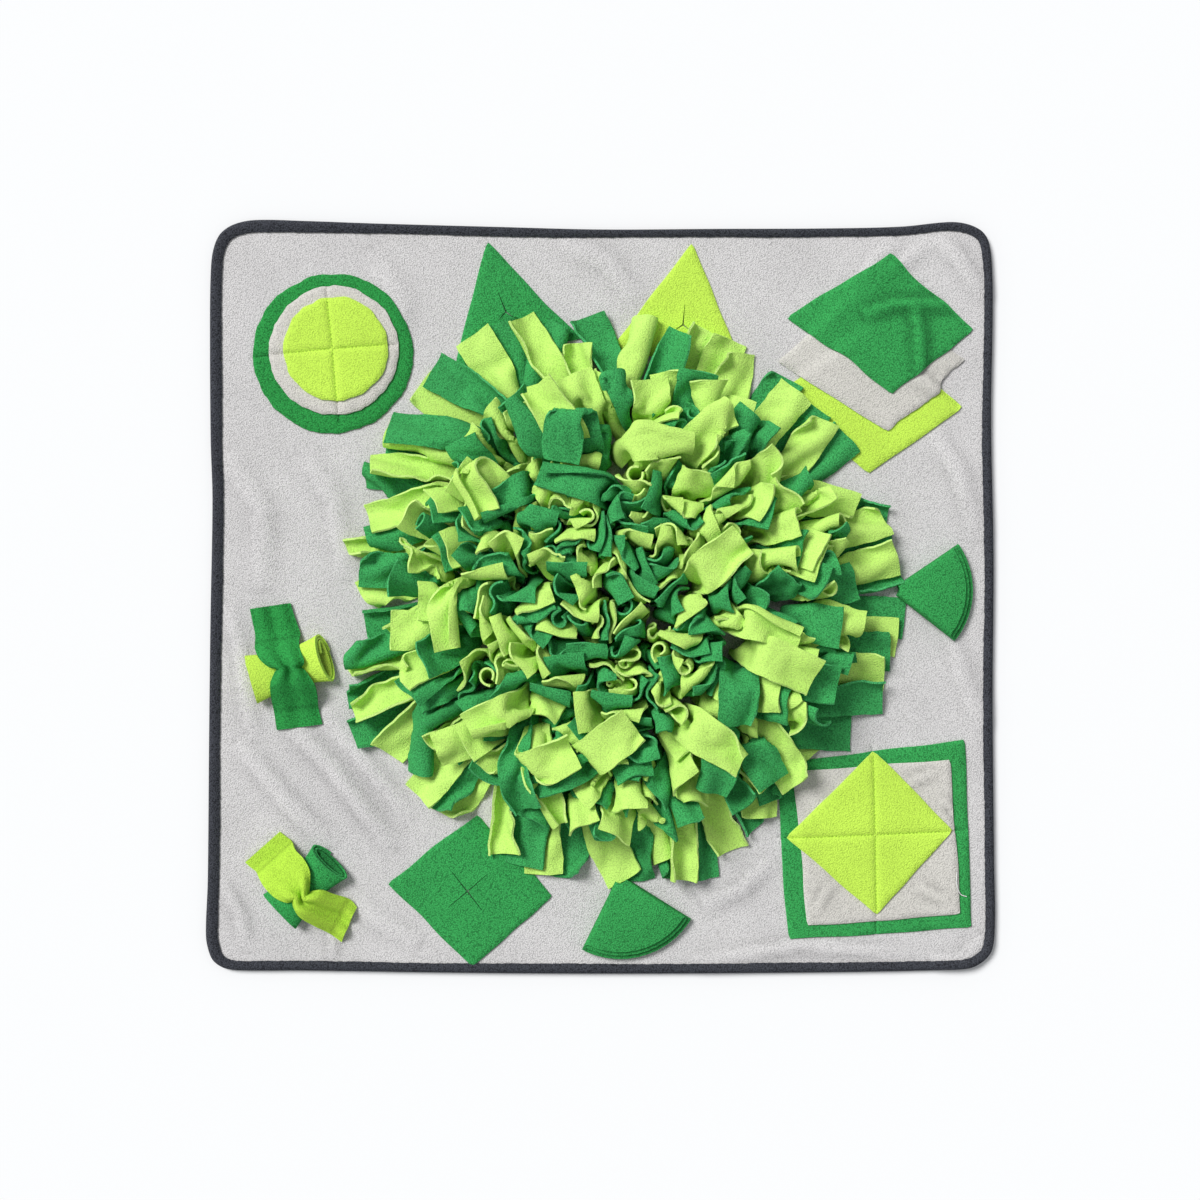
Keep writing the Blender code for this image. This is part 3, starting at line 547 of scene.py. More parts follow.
def ring_strips(random, taken):
    """The strips that grow from the rings, each as its shape, its length and its colour; many roots hold
    one of each colour, close together."""
    strips = []
    centre = on_mat(PILE_PIXEL)[:2]
    for radius in RING_RADII:
        outward = radius / RING_RADII[0]
        spacing = ROOT_SPACING + WIDER_SPACING * (1.0 - outward)
        count = max(round(2.0 * math.pi * radius / spacing), 3)
        start = random.uniform(0.0, 2.0 * math.pi)
        for number in range(count):
            heading = start + 2.0 * math.pi * number / count
            heading += random.uniform(-TURN_JITTER, TURN_JITTER) * ROOT_SPACING / radius
            place = centre + radius * np.array((math.cos(heading), math.sin(heading)))
            place = place + random.uniform(-PLACE_JITTER, PLACE_JITTER, 2)
            if min(np.linalg.norm(place - other) for other in taken) < ROOT_CLEARANCE:
                continue
            taken.append(place)
            lift = math.radians(MIDDLE_LIFT + OUTWARD_LIFT * outward**2)
            lift += random.uniform(-LIFT_JITTER, LIFT_JITTER)
            if random.random() < CURL_SHARE:
                turn, swing = random.choice((-1.0, 1.0)) * random.uniform(*CURL_TURN), 0.0
            else:
                turn = random.uniform(-FLAT_TURN, FLAT_TURN)
                swing = random.choice((-1.0, 1.0)) * random.uniform(*CURL_SWING)
            aim = heading + random.uniform(-1.0, 1.0) * (OUTER_AIM + INNER_AIM * (1.0 - outward))
            most = INNER_ROLL if outward < OUTER_FROM else OUTER_ROLL
            roll = random.uniform(-most, most)
            bow = random.uniform(*RING_BOW) - OUTWARD_BOW * outward
            colour = LIME if random.random() < LIME_SHARE else GREEN
            for twin in range(2 if random.random() < TWIN_SHARE else 1):
                length = random.uniform(*RING_LENGTH) + OUTWARD_LENGTH * outward
                aside = [random.uniform(-most, most) * twin for most in TWIN_JITTER]
                bent = (turn + aside[0], swing + aside[1], bow + aside[2])
                root = (place[0], place[1], ROOT_HEIGHT)
                shape = standing_strip(root, aim + TWIN_AIM * twin, lift, roll, *bent, length)
                shape += twin * TWIN_GAP * grid_normals(shape[None])[0][:1, ACROSS // 2][None]
                strips.append((shape, length, colour))
                colour = GREEN if colour == LIME else LIME
    return strips


def lay_out_pile():
    """The strips' shapes before they settle, their lengths, whether each grows, how hard it is held over
    its place, its rank (what lies level goes over what has a lower one) and its colour."""
    random = np.random.default_rng(PILE_SEED)
    shapes = [laid_strip(strip, 1.0 if random.random() < RIM_CURL_UP else -1.0, random) for strip in RIM]
    lengths = [length_of(shape) * RIM_SLACK for shape in shapes]
    stack_up(shapes, sorted(range(len(RIM)), key=lambda number: RIM[number].layer))
    colours = [strip.colour for strip in RIM]
    for strip in CROWN:
        shapes.append(flopped_strip(strip, 1.0 if random.random() < CROWN_CURL_UP else -1.0, random))
        colours.append(strip.colour)
        lengths.append(length_of(shapes[-1]))
    for pixel in CURLED:
        root = on_mat(pixel, CURLED_HEIGHT)
        root[2] = ROOT_HEIGHT
        heading = random.uniform(0, ANY_TURN)
        shapes.append(standing_strip(root, heading, CURLED_LIFT, 0.0, CURLED_TURN, 0.0, 0.0, CURLED_LENGTH))
        colours.append(LIME)
        lengths.append(CURLED_REACH)
    designed = len(shapes)
    taken = [shape[0].mean(axis=0)[:2] for shape in shapes]
    for shape, length, colour in ring_strips(random, taken):
        shapes.append(shape)
        lengths.append(length)
        colours.append(colour)
    number = np.arange(len(shapes))
    grows = number >= len(RIM)
    hold = np.where(number < designed, HOLD, STAND_UP)
    crowned = grows & (number < len(RIM) + len(CROWN))
    ranks = np.where(crowned, CROWN_RANK, RING_RANK)
    ranks[: len(RIM)] = [strip.layer for strip in RIM]
    return np.array(shapes), np.array(lengths), grows, hold, ranks, colours


# ---------------------------------------------------------------- the cloth solver

# The steps of the coarse cloth and of the fine, and how often the pairs that may touch are found again
GROW_STEPS = 150
SETTLE_STEPS = 90
FINE_STEPS = 24
ROUNDS = 3
PAIRS_EVERY = 3
FINE_PAIRS_EVERY = 4

# How the strips grow, fall, slow down where they touch, and are held over their places and let go
START_SIZE = 0.12
FALL = 0.00006
DAMPING = 0.86
GRIP = 0.35
PRESS_DOWN = 0.3
HOLD = 0.06
HOLD_UP = 0.02
STAND_UP = 0.012
LET_GO = 0.7

# How stiff the cloth is, and how far apart the ends of two cells in a row are kept, in cells
SHEAR = 0.35
BEND = 0.25
FINE_BEND = 0.3
BENT_CELLS = 1.99
FINE_BENT_CELLS = (1.98, 1.97)

# How near points may come, how much further off pairs are looked for, how many cells apart two points of
# one strip have to be to push each other, and how level cloth is laid in order
CONTACT = 0.0052
FINE_CONTACT = 0.0031
MARGIN = 1.35
FINE_MARGIN = 1.3
OWN_CELLS = 3
WHOLE_STRIP = 99
LEVEL = 0.6
FLATTENED = (1.0, 1.0, 0.4)
ORDER_REACH = 0.0042
ORDER_PULL = 0.7


def near_pairs(points, reach):
    """Every pair of points closer than this, found by sorting the points into cells."""
    cells = np.floor(points / reach).astype(np.int64)
    cells -= cells.min(axis=0) - 1
    spans = cells.max(axis=0) + 2
    keys = (cells[:, 0] * spans[1] + cells[:, 1]) * spans[2] + cells[:, 2]
    order = np.argsort(keys, kind="stable")
    ranked = keys[order]
    first, second = [], []
    own = (0, 0, 0)
    for offset in itertools.product((0, 1), (-1, 0, 1), (-1, 0, 1)):
        if offset < own:
            continue
        wanted = ranked + (offset[0] * spans[1] + offset[1]) * spans[2] + offset[2]
        low = np.searchsorted(ranked, wanted, "left")
        high = np.searchsorted(ranked, wanted, "right")
        if offset == own:
            low = np.arange(len(ranked)) + 1
        counts = np.maximum(high - low, 0)
        total = int(counts.sum())
        if not total:
            continue
        owner = np.repeat(np.arange(len(ranked)), counts)
        place = np.arange(total) - np.repeat(np.cumsum(counts) - counts, counts) + np.repeat(low, counts)
        first.append(order[owner])
        second.append(order[place])
    first, second = np.concatenate(first), np.concatenate(second)
    apart = points[first] - points[second]
    close = np.einsum("ij,ij->i", apart, apart) < reach * reach
    return first[close], second[close]


def pull_to_length(shape, low, high, length, stiffness):
    """Moves the points of two slices of the strips towards being this far apart."""
    gap = shape[high] - shape[low]
    distance = np.sqrt((gap * gap).sum(axis=-1, keepdims=True)) + 1e-9
    move = gap * (0.5 * stiffness * (distance - length) / distance)
    shape[low] += move
    shape[high] -= move


def slices(axis, start, step, offset):
    """Two slices of the strips' points, each point of the first paired with the one offset further on."""
    every = slice(None)
    low = slice(start, -offset, step)
    high = slice(start + offset, None, step)
    if axis == 1:
        return (every, low), (every, high)
    return (every, every, low), (every, every, high)


def hold_cloth(shape, along, across, bend_along, bend_across, stiffness):
    """One round of the constraints that keep each strip its own length and width, and nearly flat."""
    every, early, late = slice(None), slice(0, -1), slice(1, None)
    for start in (0, 1):
        pull_to_length(shape, *slices(1, start, 2, 1), along, 1.0)
        pull_to_length(shape, *slices(2, start, 2, 1), across, 1.0)
    diagonal = np.sqrt(along * along + across * across)
    for start in (0, 1):
        rows_low, rows_high = slice(start, -1, 2), slice(start + 1, None, 2)
        for low, high in ((early, late), (late, early)):
            pull_to_length(shape, (every, rows_low, low), (every, rows_high, high), diagonal, SHEAR)
    for start in (0, 1, 2, 3):
        pull_to_length(shape, *slices(1, start, 4, 2), bend_along, stiffness)
        pull_to_length(shape, *slices(2, start, 4, 2), bend_across[:, :, start::4], stiffness)


def push_apart(points, first, second, contact):
    """Parts the pairs of points that are too close, less for each pair where a point has many."""
    gap = points[first] - points[second]
    distance = np.sqrt(np.einsum("ij,ij->i", gap, gap)) + 1e-9
    near = distance < contact
    size = len(points)
    if not near.any():
        return np.zeros(size, bool)
    first, second, gap, distance = first[near], second[near], gap[near], distance[near]
    move = gap * (0.5 * (contact - distance) / distance)[:, None]
    count = np.bincount(first, minlength=size) + np.bincount(second, minlength=size)
    share = 1.0 / np.sqrt(np.maximum(count, 1.0))
    for axis in range(3):
        total = np.bincount(first, move[:, axis], size) - np.bincount(second, move[:, axis], size)
        points[:, axis] += total * share
    return count > 0


def far_on_cloth(first, second, rows, columns, apart):
    """Which pairs are on different strips, or this many cells apart on one."""
    strip_a, strip_b = first // (rows * columns), second // (rows * columns)
    row_gap = np.abs(first // columns % rows - second // columns % rows)
    column_gap = np.abs(first % columns - second % columns)
    return (strip_a != strip_b) | (np.maximum(row_gap, column_gap) >= apart)


def ordered_pairs(shape, ranks):
    """The pairs of close points that must lie one over the other, as upper and lower: a strip that lies
    level goes over one of a lower rank."""
    size = shape.shape[1] * shape.shape[2]
    points = shape.reshape(-1, 3)
    level = np.abs(grid_normals(shape)[..., 2]).reshape(-1) > LEVEL
    first, second = near_pairs(points * FLATTENED, ORDER_REACH)
    rank_first, rank_second = ranks[first // size], ranks[second // size]
    upper = np.where(rank_first > rank_second, first, second)
    lower = np.where(rank_first > rank_second, second, first)
    ordered = (rank_first != rank_second) & level[upper]
    return upper[ordered], lower[ordered]


def lay_in_order(points, upper, lower, contact):
    """Moves pairs of points up and down until the upper one is over the lower one."""
    gap = points[upper] - points[lower]
    wrong = (np.hypot(gap[:, 0], gap[:, 1]) < ORDER_REACH) & (gap[:, 2] < contact)
    upper, lower, move = upper[wrong], lower[wrong], 0.5 * (contact - gap[wrong, 2])
    count = np.bincount(upper, minlength=len(points)) + np.bincount(lower, minlength=len(points))
    total = np.bincount(upper, move, len(points)) - np.bincount(lower, move, len(points))
    points[:, 2] += ORDER_PULL * total / np.maximum(count, 1.0)


def touching_pairs(shape, reach, apart, ranks):
    """The pairs of points that may touch, as first and second, and the ordered ones, as upper and lower."""
    first, second = near_pairs(shape.reshape(-1, 3), reach)
    wanted = far_on_cloth(first, second, *shape.shape[1:3], apart)
    return first[wanted], second[wanted], *ordered_pairs(shape, ranks)


def settle_pile(shapes, lengths, grows, hold, ranks, ground):
    """Grows the strips of the pile from their roots while those held over their places come down, and
    lets all of them come to rest against each other."""
    rows, columns = shapes.shape[1:3]
    every_strip = (slice(None), None, None, None)
    roots = shapes[:, :1].mean(axis=2, keepdims=True)
    cell_along = (lengths / (rows - 1))[every_strip]
    cell_across = STRIP_WIDTH / (columns - 1)
    bend_across = np.linalg.norm(shapes[:, :, 2:] - shapes[:, :, :-2], axis=-1, keepdims=True)
    now = None
    for step in range(GROW_STEPS + SETTLE_STEPS):
        grown = min(step / GROW_STEPS, 1.0)
        size = np.where(grows, START_SIZE + (1.0 - START_SIZE) * grown, 1.0)[every_strip]
        aims = roots + size * (shapes - roots)
        if now is None:
            now, before = aims.copy(), aims.copy()
        moved = (now - before) * DAMPING
        before = now.copy()
        now = now + moved
        now[:, :, :, 2] -= FALL
        held = 1.0 - LET_GO * smooth((step - GROW_STEPS) / SETTLE_STEPS)
        now[:, :, :, :2] += (aims - now)[:, :, :, :2] * (hold * held)[every_strip]
        lifted = np.where(grows, hold, HOLD_UP * (1.0 - grown)) * held
        now[:, :, :, 2] += (aims - now)[:, :, :, 2] * lifted[:, None, None]
        if step % PAIRS_EVERY == 0:
            apart = OWN_CELLS if grown >= 1.0 else WHOLE_STRIP
            first, second, upper, lower = touching_pairs(now, CONTACT * MARGIN, apart, ranks)
        cells = (size * cell_along, size * cell_across, BENT_CELLS * size * cell_along, size * bend_across)
        for _ in range(ROUNDS):
            hold_cloth(now, *cells, BEND)
            now[:, :ROOTED_ROWS] = aims[:, :ROOTED_ROWS]
            points = now.reshape(-1, 3)
            touching = push_apart(points, first, second, CONTACT)
            lay_in_order(points, upper, lower, CONTACT)
            now = points.reshape(shapes.shape)
        points = now.reshape(-1, 3)
        floor = ground(points) + FLEECE / 2 + AIR
        low = points[:, 2] < floor
        points[low, 2] = floor[low]
        over = (points[:, 2] > PILE_TOP) & np.repeat(grows, rows * columns)
        points[over, 2] -= (points[over, 2] - PILE_TOP) * PRESS_DOWN
        now = points.reshape(shapes.shape)
        now[:, :ROOTED_ROWS] = aims[:, :ROOTED_ROWS]
        rest = low | touching
        old = before.reshape(-1, 3)
        old[rest] += (points[rest] - old[rest]) * GRIP
    return now


def finer(shape, axis):
    """The strips with a point put in between each two along one axis, on a smooth curve."""
    shape = np.moveaxis(shape, axis, 0)
    ahead = np.concatenate((shape[1:], 2 * shape[-1:] - shape[-2:-1]))
    behind = np.concatenate((2 * shape[:1] - shape[1:2], shape[:-1]))
    further = np.concatenate((ahead[1:], 2 * ahead[-1:] - ahead[-2:-1]))
    middle = (9.0 * (shape + ahead) - (behind + further)) / 16.0
    made = np.empty((2 * len(shape) - 1, *shape.shape[1:]))
    made[0::2] = shape
    made[1::2] = middle[:-1]
    return np.moveaxis(made, 0, axis)


def settle_finely(shape, lengths, ranks, ground):
    """Halves the cells of the settled strips and clears what still touches at that size."""
    shape = finer(finer(shape, 1), 2)
    count, rows, columns = shape.shape[:3]
    cell_along = (lengths / (rows - 1))[:, None, None, None]
    cell_across = STRIP_WIDTH / (columns - 1)
    bend_along = FINE_BENT_CELLS[0] * cell_along
    bend_across = np.full((count, rows, columns - 2, 1), FINE_BENT_CELLS[1] * cell_across)
    rooted = 2 * ROOTED_ROWS - 1
    anchored = shape[:, :rooted].copy()
    for step in range(FINE_STEPS):
        points = shape.reshape(-1, 3)
        if step % FINE_PAIRS_EVERY == 0:
            first, second, upper, lower = touching_pairs(shape, FINE_CONTACT * FINE_MARGIN, OWN_CELLS, ranks)
        push_apart(points, first, second, FINE_CONTACT)
        lay_in_order(points, upper, lower, FINE_CONTACT)
        shape = points.reshape(shape.shape)
        hold_cloth(shape, cell_along, cell_across, bend_along, bend_across, FINE_BEND)
        shape[:, :rooted] = anchored
        points = shape.reshape(-1, 3)
        floor = ground(points) + FLEECE / 2 + AIR
        points[:, 2] = np.maximum(points[:, 2], floor)
        shape = points.reshape(shape.shape)
    return shape


# ---------------------------------------------------------------- the lie of the land

# The grid that heights are kept on, and how often a sheet is smoothed as it is laid on them
CELL = 0.002
GROUND_X = np.arange(-0.37, 0.3701, CELL)
GROUND_Y = np.arange(-0.356, 0.3561, CELL)
DRAPE_ROUNDS = 9

# How a fold's bend is measured, and how much painted shade darkens its hollows, the slits and the strips'
# roots; and the angle from which an edge is sharp
CREASE_STEP = 0.0035
CREASE_BEND = 50.0
SHEET_FOLD_SHADE = 1.7
SLIT_PAINTED_SHADOW = 3.4
ROOT_PAINTED_SHADE = 2.6
ROOT_SHADE_REACH = 0.5
SHARP_FROM = 50.0

Ridge = namedtuple("Ridge", "path width height")


def off_line(x, y, path):
    """How far points are from a line of straight stretches, and how far along it they come, from 0 to 1."""
    path = np.array(path, float)
    lengths = np.linalg.norm(np.diff(path, axis=0), axis=1)
    before = distances(path)
    nearest = np.full(np.shape(x), np.inf)
    along = np.zeros(np.shape(x))
    for number, length in enumerate(lengths):
        start = path[number]
        ahead = (path[number + 1] - start) / length
        reach = np.clip((x - start[0]) * ahead[0] + (y - start[1]) * ahead[1], 0.0, length)
        away = np.hypot(x - start[0] - ahead[0] * reach, y - start[1] - ahead[1] * reach)
        closer = away < nearest
        nearest = np.where(closer, away, nearest)
        along = np.where(closer, (before[number] + reach) / before[-1], along)
    return nearest, along


def off_loop(x, y, loop):
    """How far points are from a closed outline."""
    return off_line(x, y, np.vstack((loop, loop[:1])))[0]


def folds(height, rows):
    """Soft folds along lines of the photograph's pixels, each with its width and its height."""
    return [Ridge(flat_points(path, height), width, rise) for path, width, rise in rows]


def ridge_height(x, y, ridges):
    """The height of soft folds: each is highest halfway along, and dies out at its ends."""
    height = np.zeros(np.shape(x))
    for ridge in ridges:
        away, along = off_line(x, y, ridge.path)
        height = height + ridge.height * np.exp(-((away / ridge.width) ** 2)) * np.sin(math.pi * along) ** 0.7
    return height


def fold_shade_at(x, y, ridges):
    """Painted shade beside folds, from how they bend, up to 1; below 0, a faint painted highlight on their
    tops.
    """
    step = CREASE_STEP
    around = ridge_height(x + step, y, ridges) + ridge_height(x - step, y, ridges)
    around = around + ridge_height(x, y + step, ridges) + ridge_height(x, y - step, ridges)
    bend = (around - 4.0 * ridge_height(x, y, ridges)) / step**2
    return np.clip(bend / CREASE_BEND, -0.15, 1.0)


def ditch_depth(x, y):
    """How deep the seams pull the cloth in."""
    depth = np.zeros(np.shape(x))
    for seam in SEAMS.values():
        away, _ = off_line(x, y, seam)
        depth = np.maximum(depth, DITCH * np.exp(-((away / DITCH_WIDTH) ** 2)))
    return depth


def inside(x, y, outline):
    """Which points lie inside a closed outline."""
    within = np.zeros(np.shape(x), bool)
    for start, end in zip(outline, np.roll(outline, -1, axis=0)):
        crosses = (start[1] > y) != (end[1] > y)
        rise = end[1] - start[1] if end[1] != start[1] else 1e-12
        within ^= crosses & (x < (end[0] - start[0]) * (y - start[1]) / rise + start[0])
    return within


class Land:
    """The height of what has been laid so far, on a grid over the mat, and its colour."""

    def __init__(self):
        self.x, self.y = np.meshgrid(GROUND_X, GROUND_Y)
        self.top = PANEL_TOP + ridge_height(self.x, self.y, WRINKLES)
        self.colour = np.full(self.x.shape, GREY)

    def at(self, x, y, field=None):
        """The height over a place, read between the grid's points."""
        field = self.top if field is None else field
        column = np.clip((x - GROUND_X[0]) / CELL, 0, len(GROUND_X) - 1.001)
        row = np.clip((y - GROUND_Y[0]) / CELL, 0, len(GROUND_Y) - 1.001)
        i, j = row.astype(int), column.astype(int)
        down, over = row - i, column - j
        upper = field[i, j] * (1 - over) + field[i, j + 1] * over
        lower = field[i + 1, j] * (1 - over) + field[i + 1, j + 1] * over
        return upper * (1 - down) + lower * down

    def drape(self):
        """The height of the underside of a sheet laid over what is there: it spans steps smoothly."""
        floor = self.top + AIR
        lying = floor.copy()
        for _ in range(DRAPE_ROUNDS):
            padded = np.pad(lying, 1, mode="edge")
            beside = padded[1:-1, :-2] + padded[1:-1, 2:] + padded[:-2, 1:-1] + padded[2:, 1:-1]
            lying = np.maximum(beside / 8 + lying / 2, floor)
        return lying

    def lay(self, outline, top, colour):
        """Raises the land to the top of a sheet."""
        covered = inside(self.x, self.y, outline)
        self.top = np.where(covered, np.maximum(self.top, top), self.top)
        self.colour = np.where(covered, colour, self.colour)


# ---------------------------------------------------------------- meshes


def new_object(name, points, faces, cut, painted_shade=None):
    """An object with these faces, smooth but for its sharp edges; cut says which faces are a cut edge,
    and painted_shade how much painted shade each point gets where shade falls; below 0 it is a faint painted
    highlight."""
    mesh = bpy.data.meshes.new(name)
    mesh.from_pydata(np.asarray(points).tolist(), [], [tuple(face) for face in faces])
    mesh.update()
    corners = np.repeat(np.asarray(cut, float), [len(face) for face in faces])
    painted_shade_amount = np.zeros(len(points)) if painted_shade is None else painted_shade
    mesh.attributes.new("cut", "FLOAT", "CORNER").data.foreach_set("value", corners)
    mesh.attributes.new("painted_shade", "FLOAT", "POINT").data.foreach_set("value", painted_shade_amount)
    mesh.shade_smooth()
    mesh.set_sharp_from_angle(angle=math.radians(SHARP_FROM))
    made = bpy.data.objects.new(name, mesh)
    bpy.context.scene.collection.objects.link(made)
    return made


def cut_side(start, end, random, wander):
    """A side cut by hand between two corners: it wanders a little on the way."""
    length = np.linalg.norm(end - start)
    count = max(int(length / EDGE_STEP), 3)
    share = np.arange(count) / count
    share = share * (1 - 2 * CORNER_CUT / length) + CORNER_CUT / length
    ahead = (end - start) / length
    aside = np.array((-ahead[1], ahead[0]))
    off = np.zeros(count)
    for waves in (1, 2, 3.3, 5.1):
        size = wander / waves**0.7 * random.uniform(-1, 1)
        off += size * np.sin(waves * math.pi * share + random.uniform(0, ANY_TURN))
    off *= np.sin(math.pi * share) ** 0.5
    return start + np.outer(share * length, ahead) + np.outer(off, aside)


def cut_outline(corners, random, wander=SIDE_WANDER):
    """The outline of a piece cut by hand through these corners."""
    sides = zip(corners, np.roll(corners, -1, axis=0))
    return counterclockwise(np.concatenate([cut_side(start, end, random, wander) for start, end in sides]))


def cut_disc(centre, radius, seed, snips):
    """The outline of a disc cut by hand in nearly straight snips."""
    random = np.random.default_rng(seed)
    turn = (np.arange(snips) + random.uniform(-SNIP_TURN, SNIP_TURN, snips)) * 2.0 * math.pi / snips
    reach = radius * random.uniform(*SNIP_REACH, snips)
    corners = centre + np.stack((reach * np.cos(turn), reach * np.sin(turn)), axis=1)
    return cut_outline(corners, random, DISC_WANDER)


def signed_area(outline):
    """An outline's area, less than 0 where it runs clockwise."""
    ahead = np.roll(outline, -1, axis=0)
    return np.sum(outline[:, 0] * ahead[:, 1] - outline[:, 1] * ahead[:, 0]) / 2


def counterclockwise(outline):
    return outline if signed_area(outline) > 0 else outline[::-1]


def slit_outline(centre, ends):
    """The gaping outline of a slit of several arms."""
    ends = sorted(ends, key=lambda end: math.atan2(end[1] - centre[1], end[0] - centre[0]))
    points = []
    for end, following in zip(ends, ends[1:] + ends[:1]):
        ahead = unit(end - centre)
        aside = np.array((-ahead[1], ahead[0]))
        near_end = end - ahead * SLIT_TAPER
        points += [near_end - aside * SLIT_GAP * SLIT_END, end, near_end + aside * SLIT_GAP * SLIT_END]
        between = ahead + unit(following - centre)
        if np.linalg.norm(between) < 0.2:
            between = aside
        points.append(centre + unit(between) * SLIT_GAP)
    return np.array(points)


def mesh_points(outline, holes, seams, spacing):
    """Points spread over a cut piece: its outline, its slits, the seams with a row either side, and an
    even net between them."""
    low, high = outline.min(axis=0), outline.max(axis=0)
    net = []
    for number, y in enumerate(np.arange(low[1], high[1], spacing * 0.866)):
        xs = np.arange(low[0] + (number % 2) * spacing / 2, high[0], spacing)
        net.append(np.stack((xs, np.full(len(xs), y)), axis=1))
    net = np.concatenate(net)
    x, y = net[:, 0], net[:, 1]
    keep = inside(x, y, outline) & (off_loop(x, y, outline) > 0.55 * spacing)
    for hole in holes:
        keep &= (off_loop(x, y, hole) > 0.4 * spacing) & ~inside(x, y, hole)
    lines = [np.zeros((0, 2))]
    for seam in seams:
        keep &= off_line(x, y, seam)[0] > 1.3 * DITCH_WIDTH + 0.3 * spacing
        for start, end in zip(seam[:-1], seam[1:]):
            length = np.linalg.norm(end - start)
            ahead = (end - start) / length
            aside = np.array((-ahead[1], ahead[0]))
            along = start + np.outer(np.arange(0.0, length, EDGE_STEP), ahead)
            lines += [along + aside * off * DITCH_WIDTH for off in (-1.2, -0.6, 0.0, 0.6, 1.2)]
    extra = np.concatenate(lines)
    x, y = extra[:, 0], extra[:, 1]
    extra = extra[inside(x, y, outline) & (off_loop(x, y, outline) > 0.4 * EDGE_STEP)]
    return np.concatenate((net[keep], extra))


def triangulate(outline, holes, loose):
    """Triangles over an outline, its slits left open."""
    points = [outline, *holes]
    edges, start = [], 0
    for loop in points:
        edges += [(start + i, start + (i + 1) % len(loop)) for i in range(len(loop))]
        start += len(loop)
    everything = np.concatenate((*points, loose))
    found = delaunay_2d_cdt([Vector(p) for p in everything], edges, [list(range(len(outline)))], 1, 1e-7)
    flat = np.array([tuple(p) for p in found[0]])
    triangles = np.array([tuple(face) for face in found[2]])
    middle = flat[triangles].mean(axis=1)
    for hole in holes:
        keep = ~inside(middle[:, 0], middle[:, 1], hole)
        triangles, middle = triangles[keep], middle[keep]
    used = np.unique(triangles)
    place = np.full(len(flat), -1)
    place[used] = np.arange(len(used))
    return flat[used], place[triangles]


def sheet_object(name, flat, triangles, top, bottom, painted_shade, slit):
    """A sheet between two heights, with a rounded cut edge; slit says which points are on a slit."""
    count = len(flat)
    sides = np.concatenate((triangles[:, (0, 1)], triangles[:, (1, 2)], triangles[:, (2, 0)]))
    keys = sides[:, 0] * count + sides[:, 1]
    twins = sides[:, 1] * count + sides[:, 0]
    rim = sides[~np.isin(keys, twins)]
    outward = np.zeros((count, 2))
    along = flat[rim[:, 1]] - flat[rim[:, 0]]
    right = np.stack((along[:, 1], -along[:, 0]), axis=1)
    right /= np.linalg.norm(right, axis=1, keepdims=True) + 1e-12
    np.add.at(outward, rim[:, 0], right)
    np.add.at(outward, rim[:, 1], right)
    outward /= np.linalg.norm(outward, axis=1, keepdims=True) + 1e-12
    edge = np.unique(rim)
    drop = np.zeros(count)
    drop[edge] = EDGE_ROUND
    upper = np.column_stack((flat, top - drop))
    lower = np.column_stack((flat, bottom + 0.5 * drop))
    ring = np.column_stack((flat + outward * EDGE_ROUND, (top + bottom) / 2))[edge]
    ring_of = np.full(count, -1)
    ring_of[edge] = 2 * count + np.arange(len(edge))
    a, b = rim[:, 0], rim[:, 1]
    faces = [tuple(face) for face in triangles]
    faces += [tuple(face) for face in triangles[:, ::-1] + count]
    faces += list(zip(ring_of[a], ring_of[b], b, a))
    faces += list(zip(a + count, b + count, ring_of[b], ring_of[a]))
    # A slit's walls are not paler like a cut edge: they get painted shadow, for the shade down in the slit
    walls = 1.0 - slit[a]
    cut = np.concatenate((np.zeros(2 * len(triangles)), walls, walls))
    painted_shade = np.concatenate((painted_shade, SLIT_PAINTED_SHADOW * slit, painted_shade[edge] + SLIT_PAINTED_SHADOW * slit[edge]))
    return new_object(name, np.concatenate((upper, lower, ring)), faces, cut, painted_shade)


def strips_mesh(name, shape, thickness, painted_shade=None):
    """One mesh of many strips: an upper and a lower face, and a cut edge between them."""
    count, rows, columns = shape.shape[:3]
    normal = grid_normals(shape)
    upper = shape + normal * thickness / 2
    lower = shape - normal * thickness / 2
    points = np.concatenate((upper.reshape(-1, 3), lower.reshape(-1, 3)))
    index = np.arange(count * rows * columns).reshape(count, rows, columns)
    under = index + count * rows * columns
    a, b, c, d = index[:, :-1, :-1], index[:, :-1, 1:], index[:, 1:, 1:], index[:, 1:, :-1]
    quads = [np.stack((a, b, c, d), axis=-1).reshape(-1, 4)]
    a, b, c, d = under[:, :-1, :-1], under[:, 1:, :-1], under[:, 1:, 1:], under[:, :-1, 1:]
    quads.append(np.stack((a, b, c, d), axis=-1).reshape(-1, 4))
    sides = (index[:, 0, :], index[:, 1:, -1], index[:, -1, -2::-1], index[:, -2:0:-1, 0])
    rim = np.concatenate(sides, axis=1)
    rim_under = rim + count * rows * columns
    ahead, ahead_under = np.roll(rim, -1, axis=1), np.roll(rim_under, -1, axis=1)
    quads.append(np.stack((rim, rim_under, ahead_under, ahead), axis=-1).reshape(-1, 4))
    faces = np.concatenate(quads)
    cut = np.zeros(len(faces))
    cut[-rim.size :] = 1.0
    painted_shade_amount = None if painted_shade is None else np.tile(np.ravel(painted_shade), 2)
    return new_object(name, points, faces.tolist(), cut, painted_shade_amount)


# ---------------------------------------------------------------- materials


def plug(node, inputs):
    """Sets a shader node's inputs: each is a number, a colour, or the output that feeds it."""
    for key, value in inputs.items():
        if isinstance(value, bpy.types.NodeSocket):
            node.id_data.links.new(value, node.inputs[key])
        else:
            node.inputs[key].default_value = value
    return node


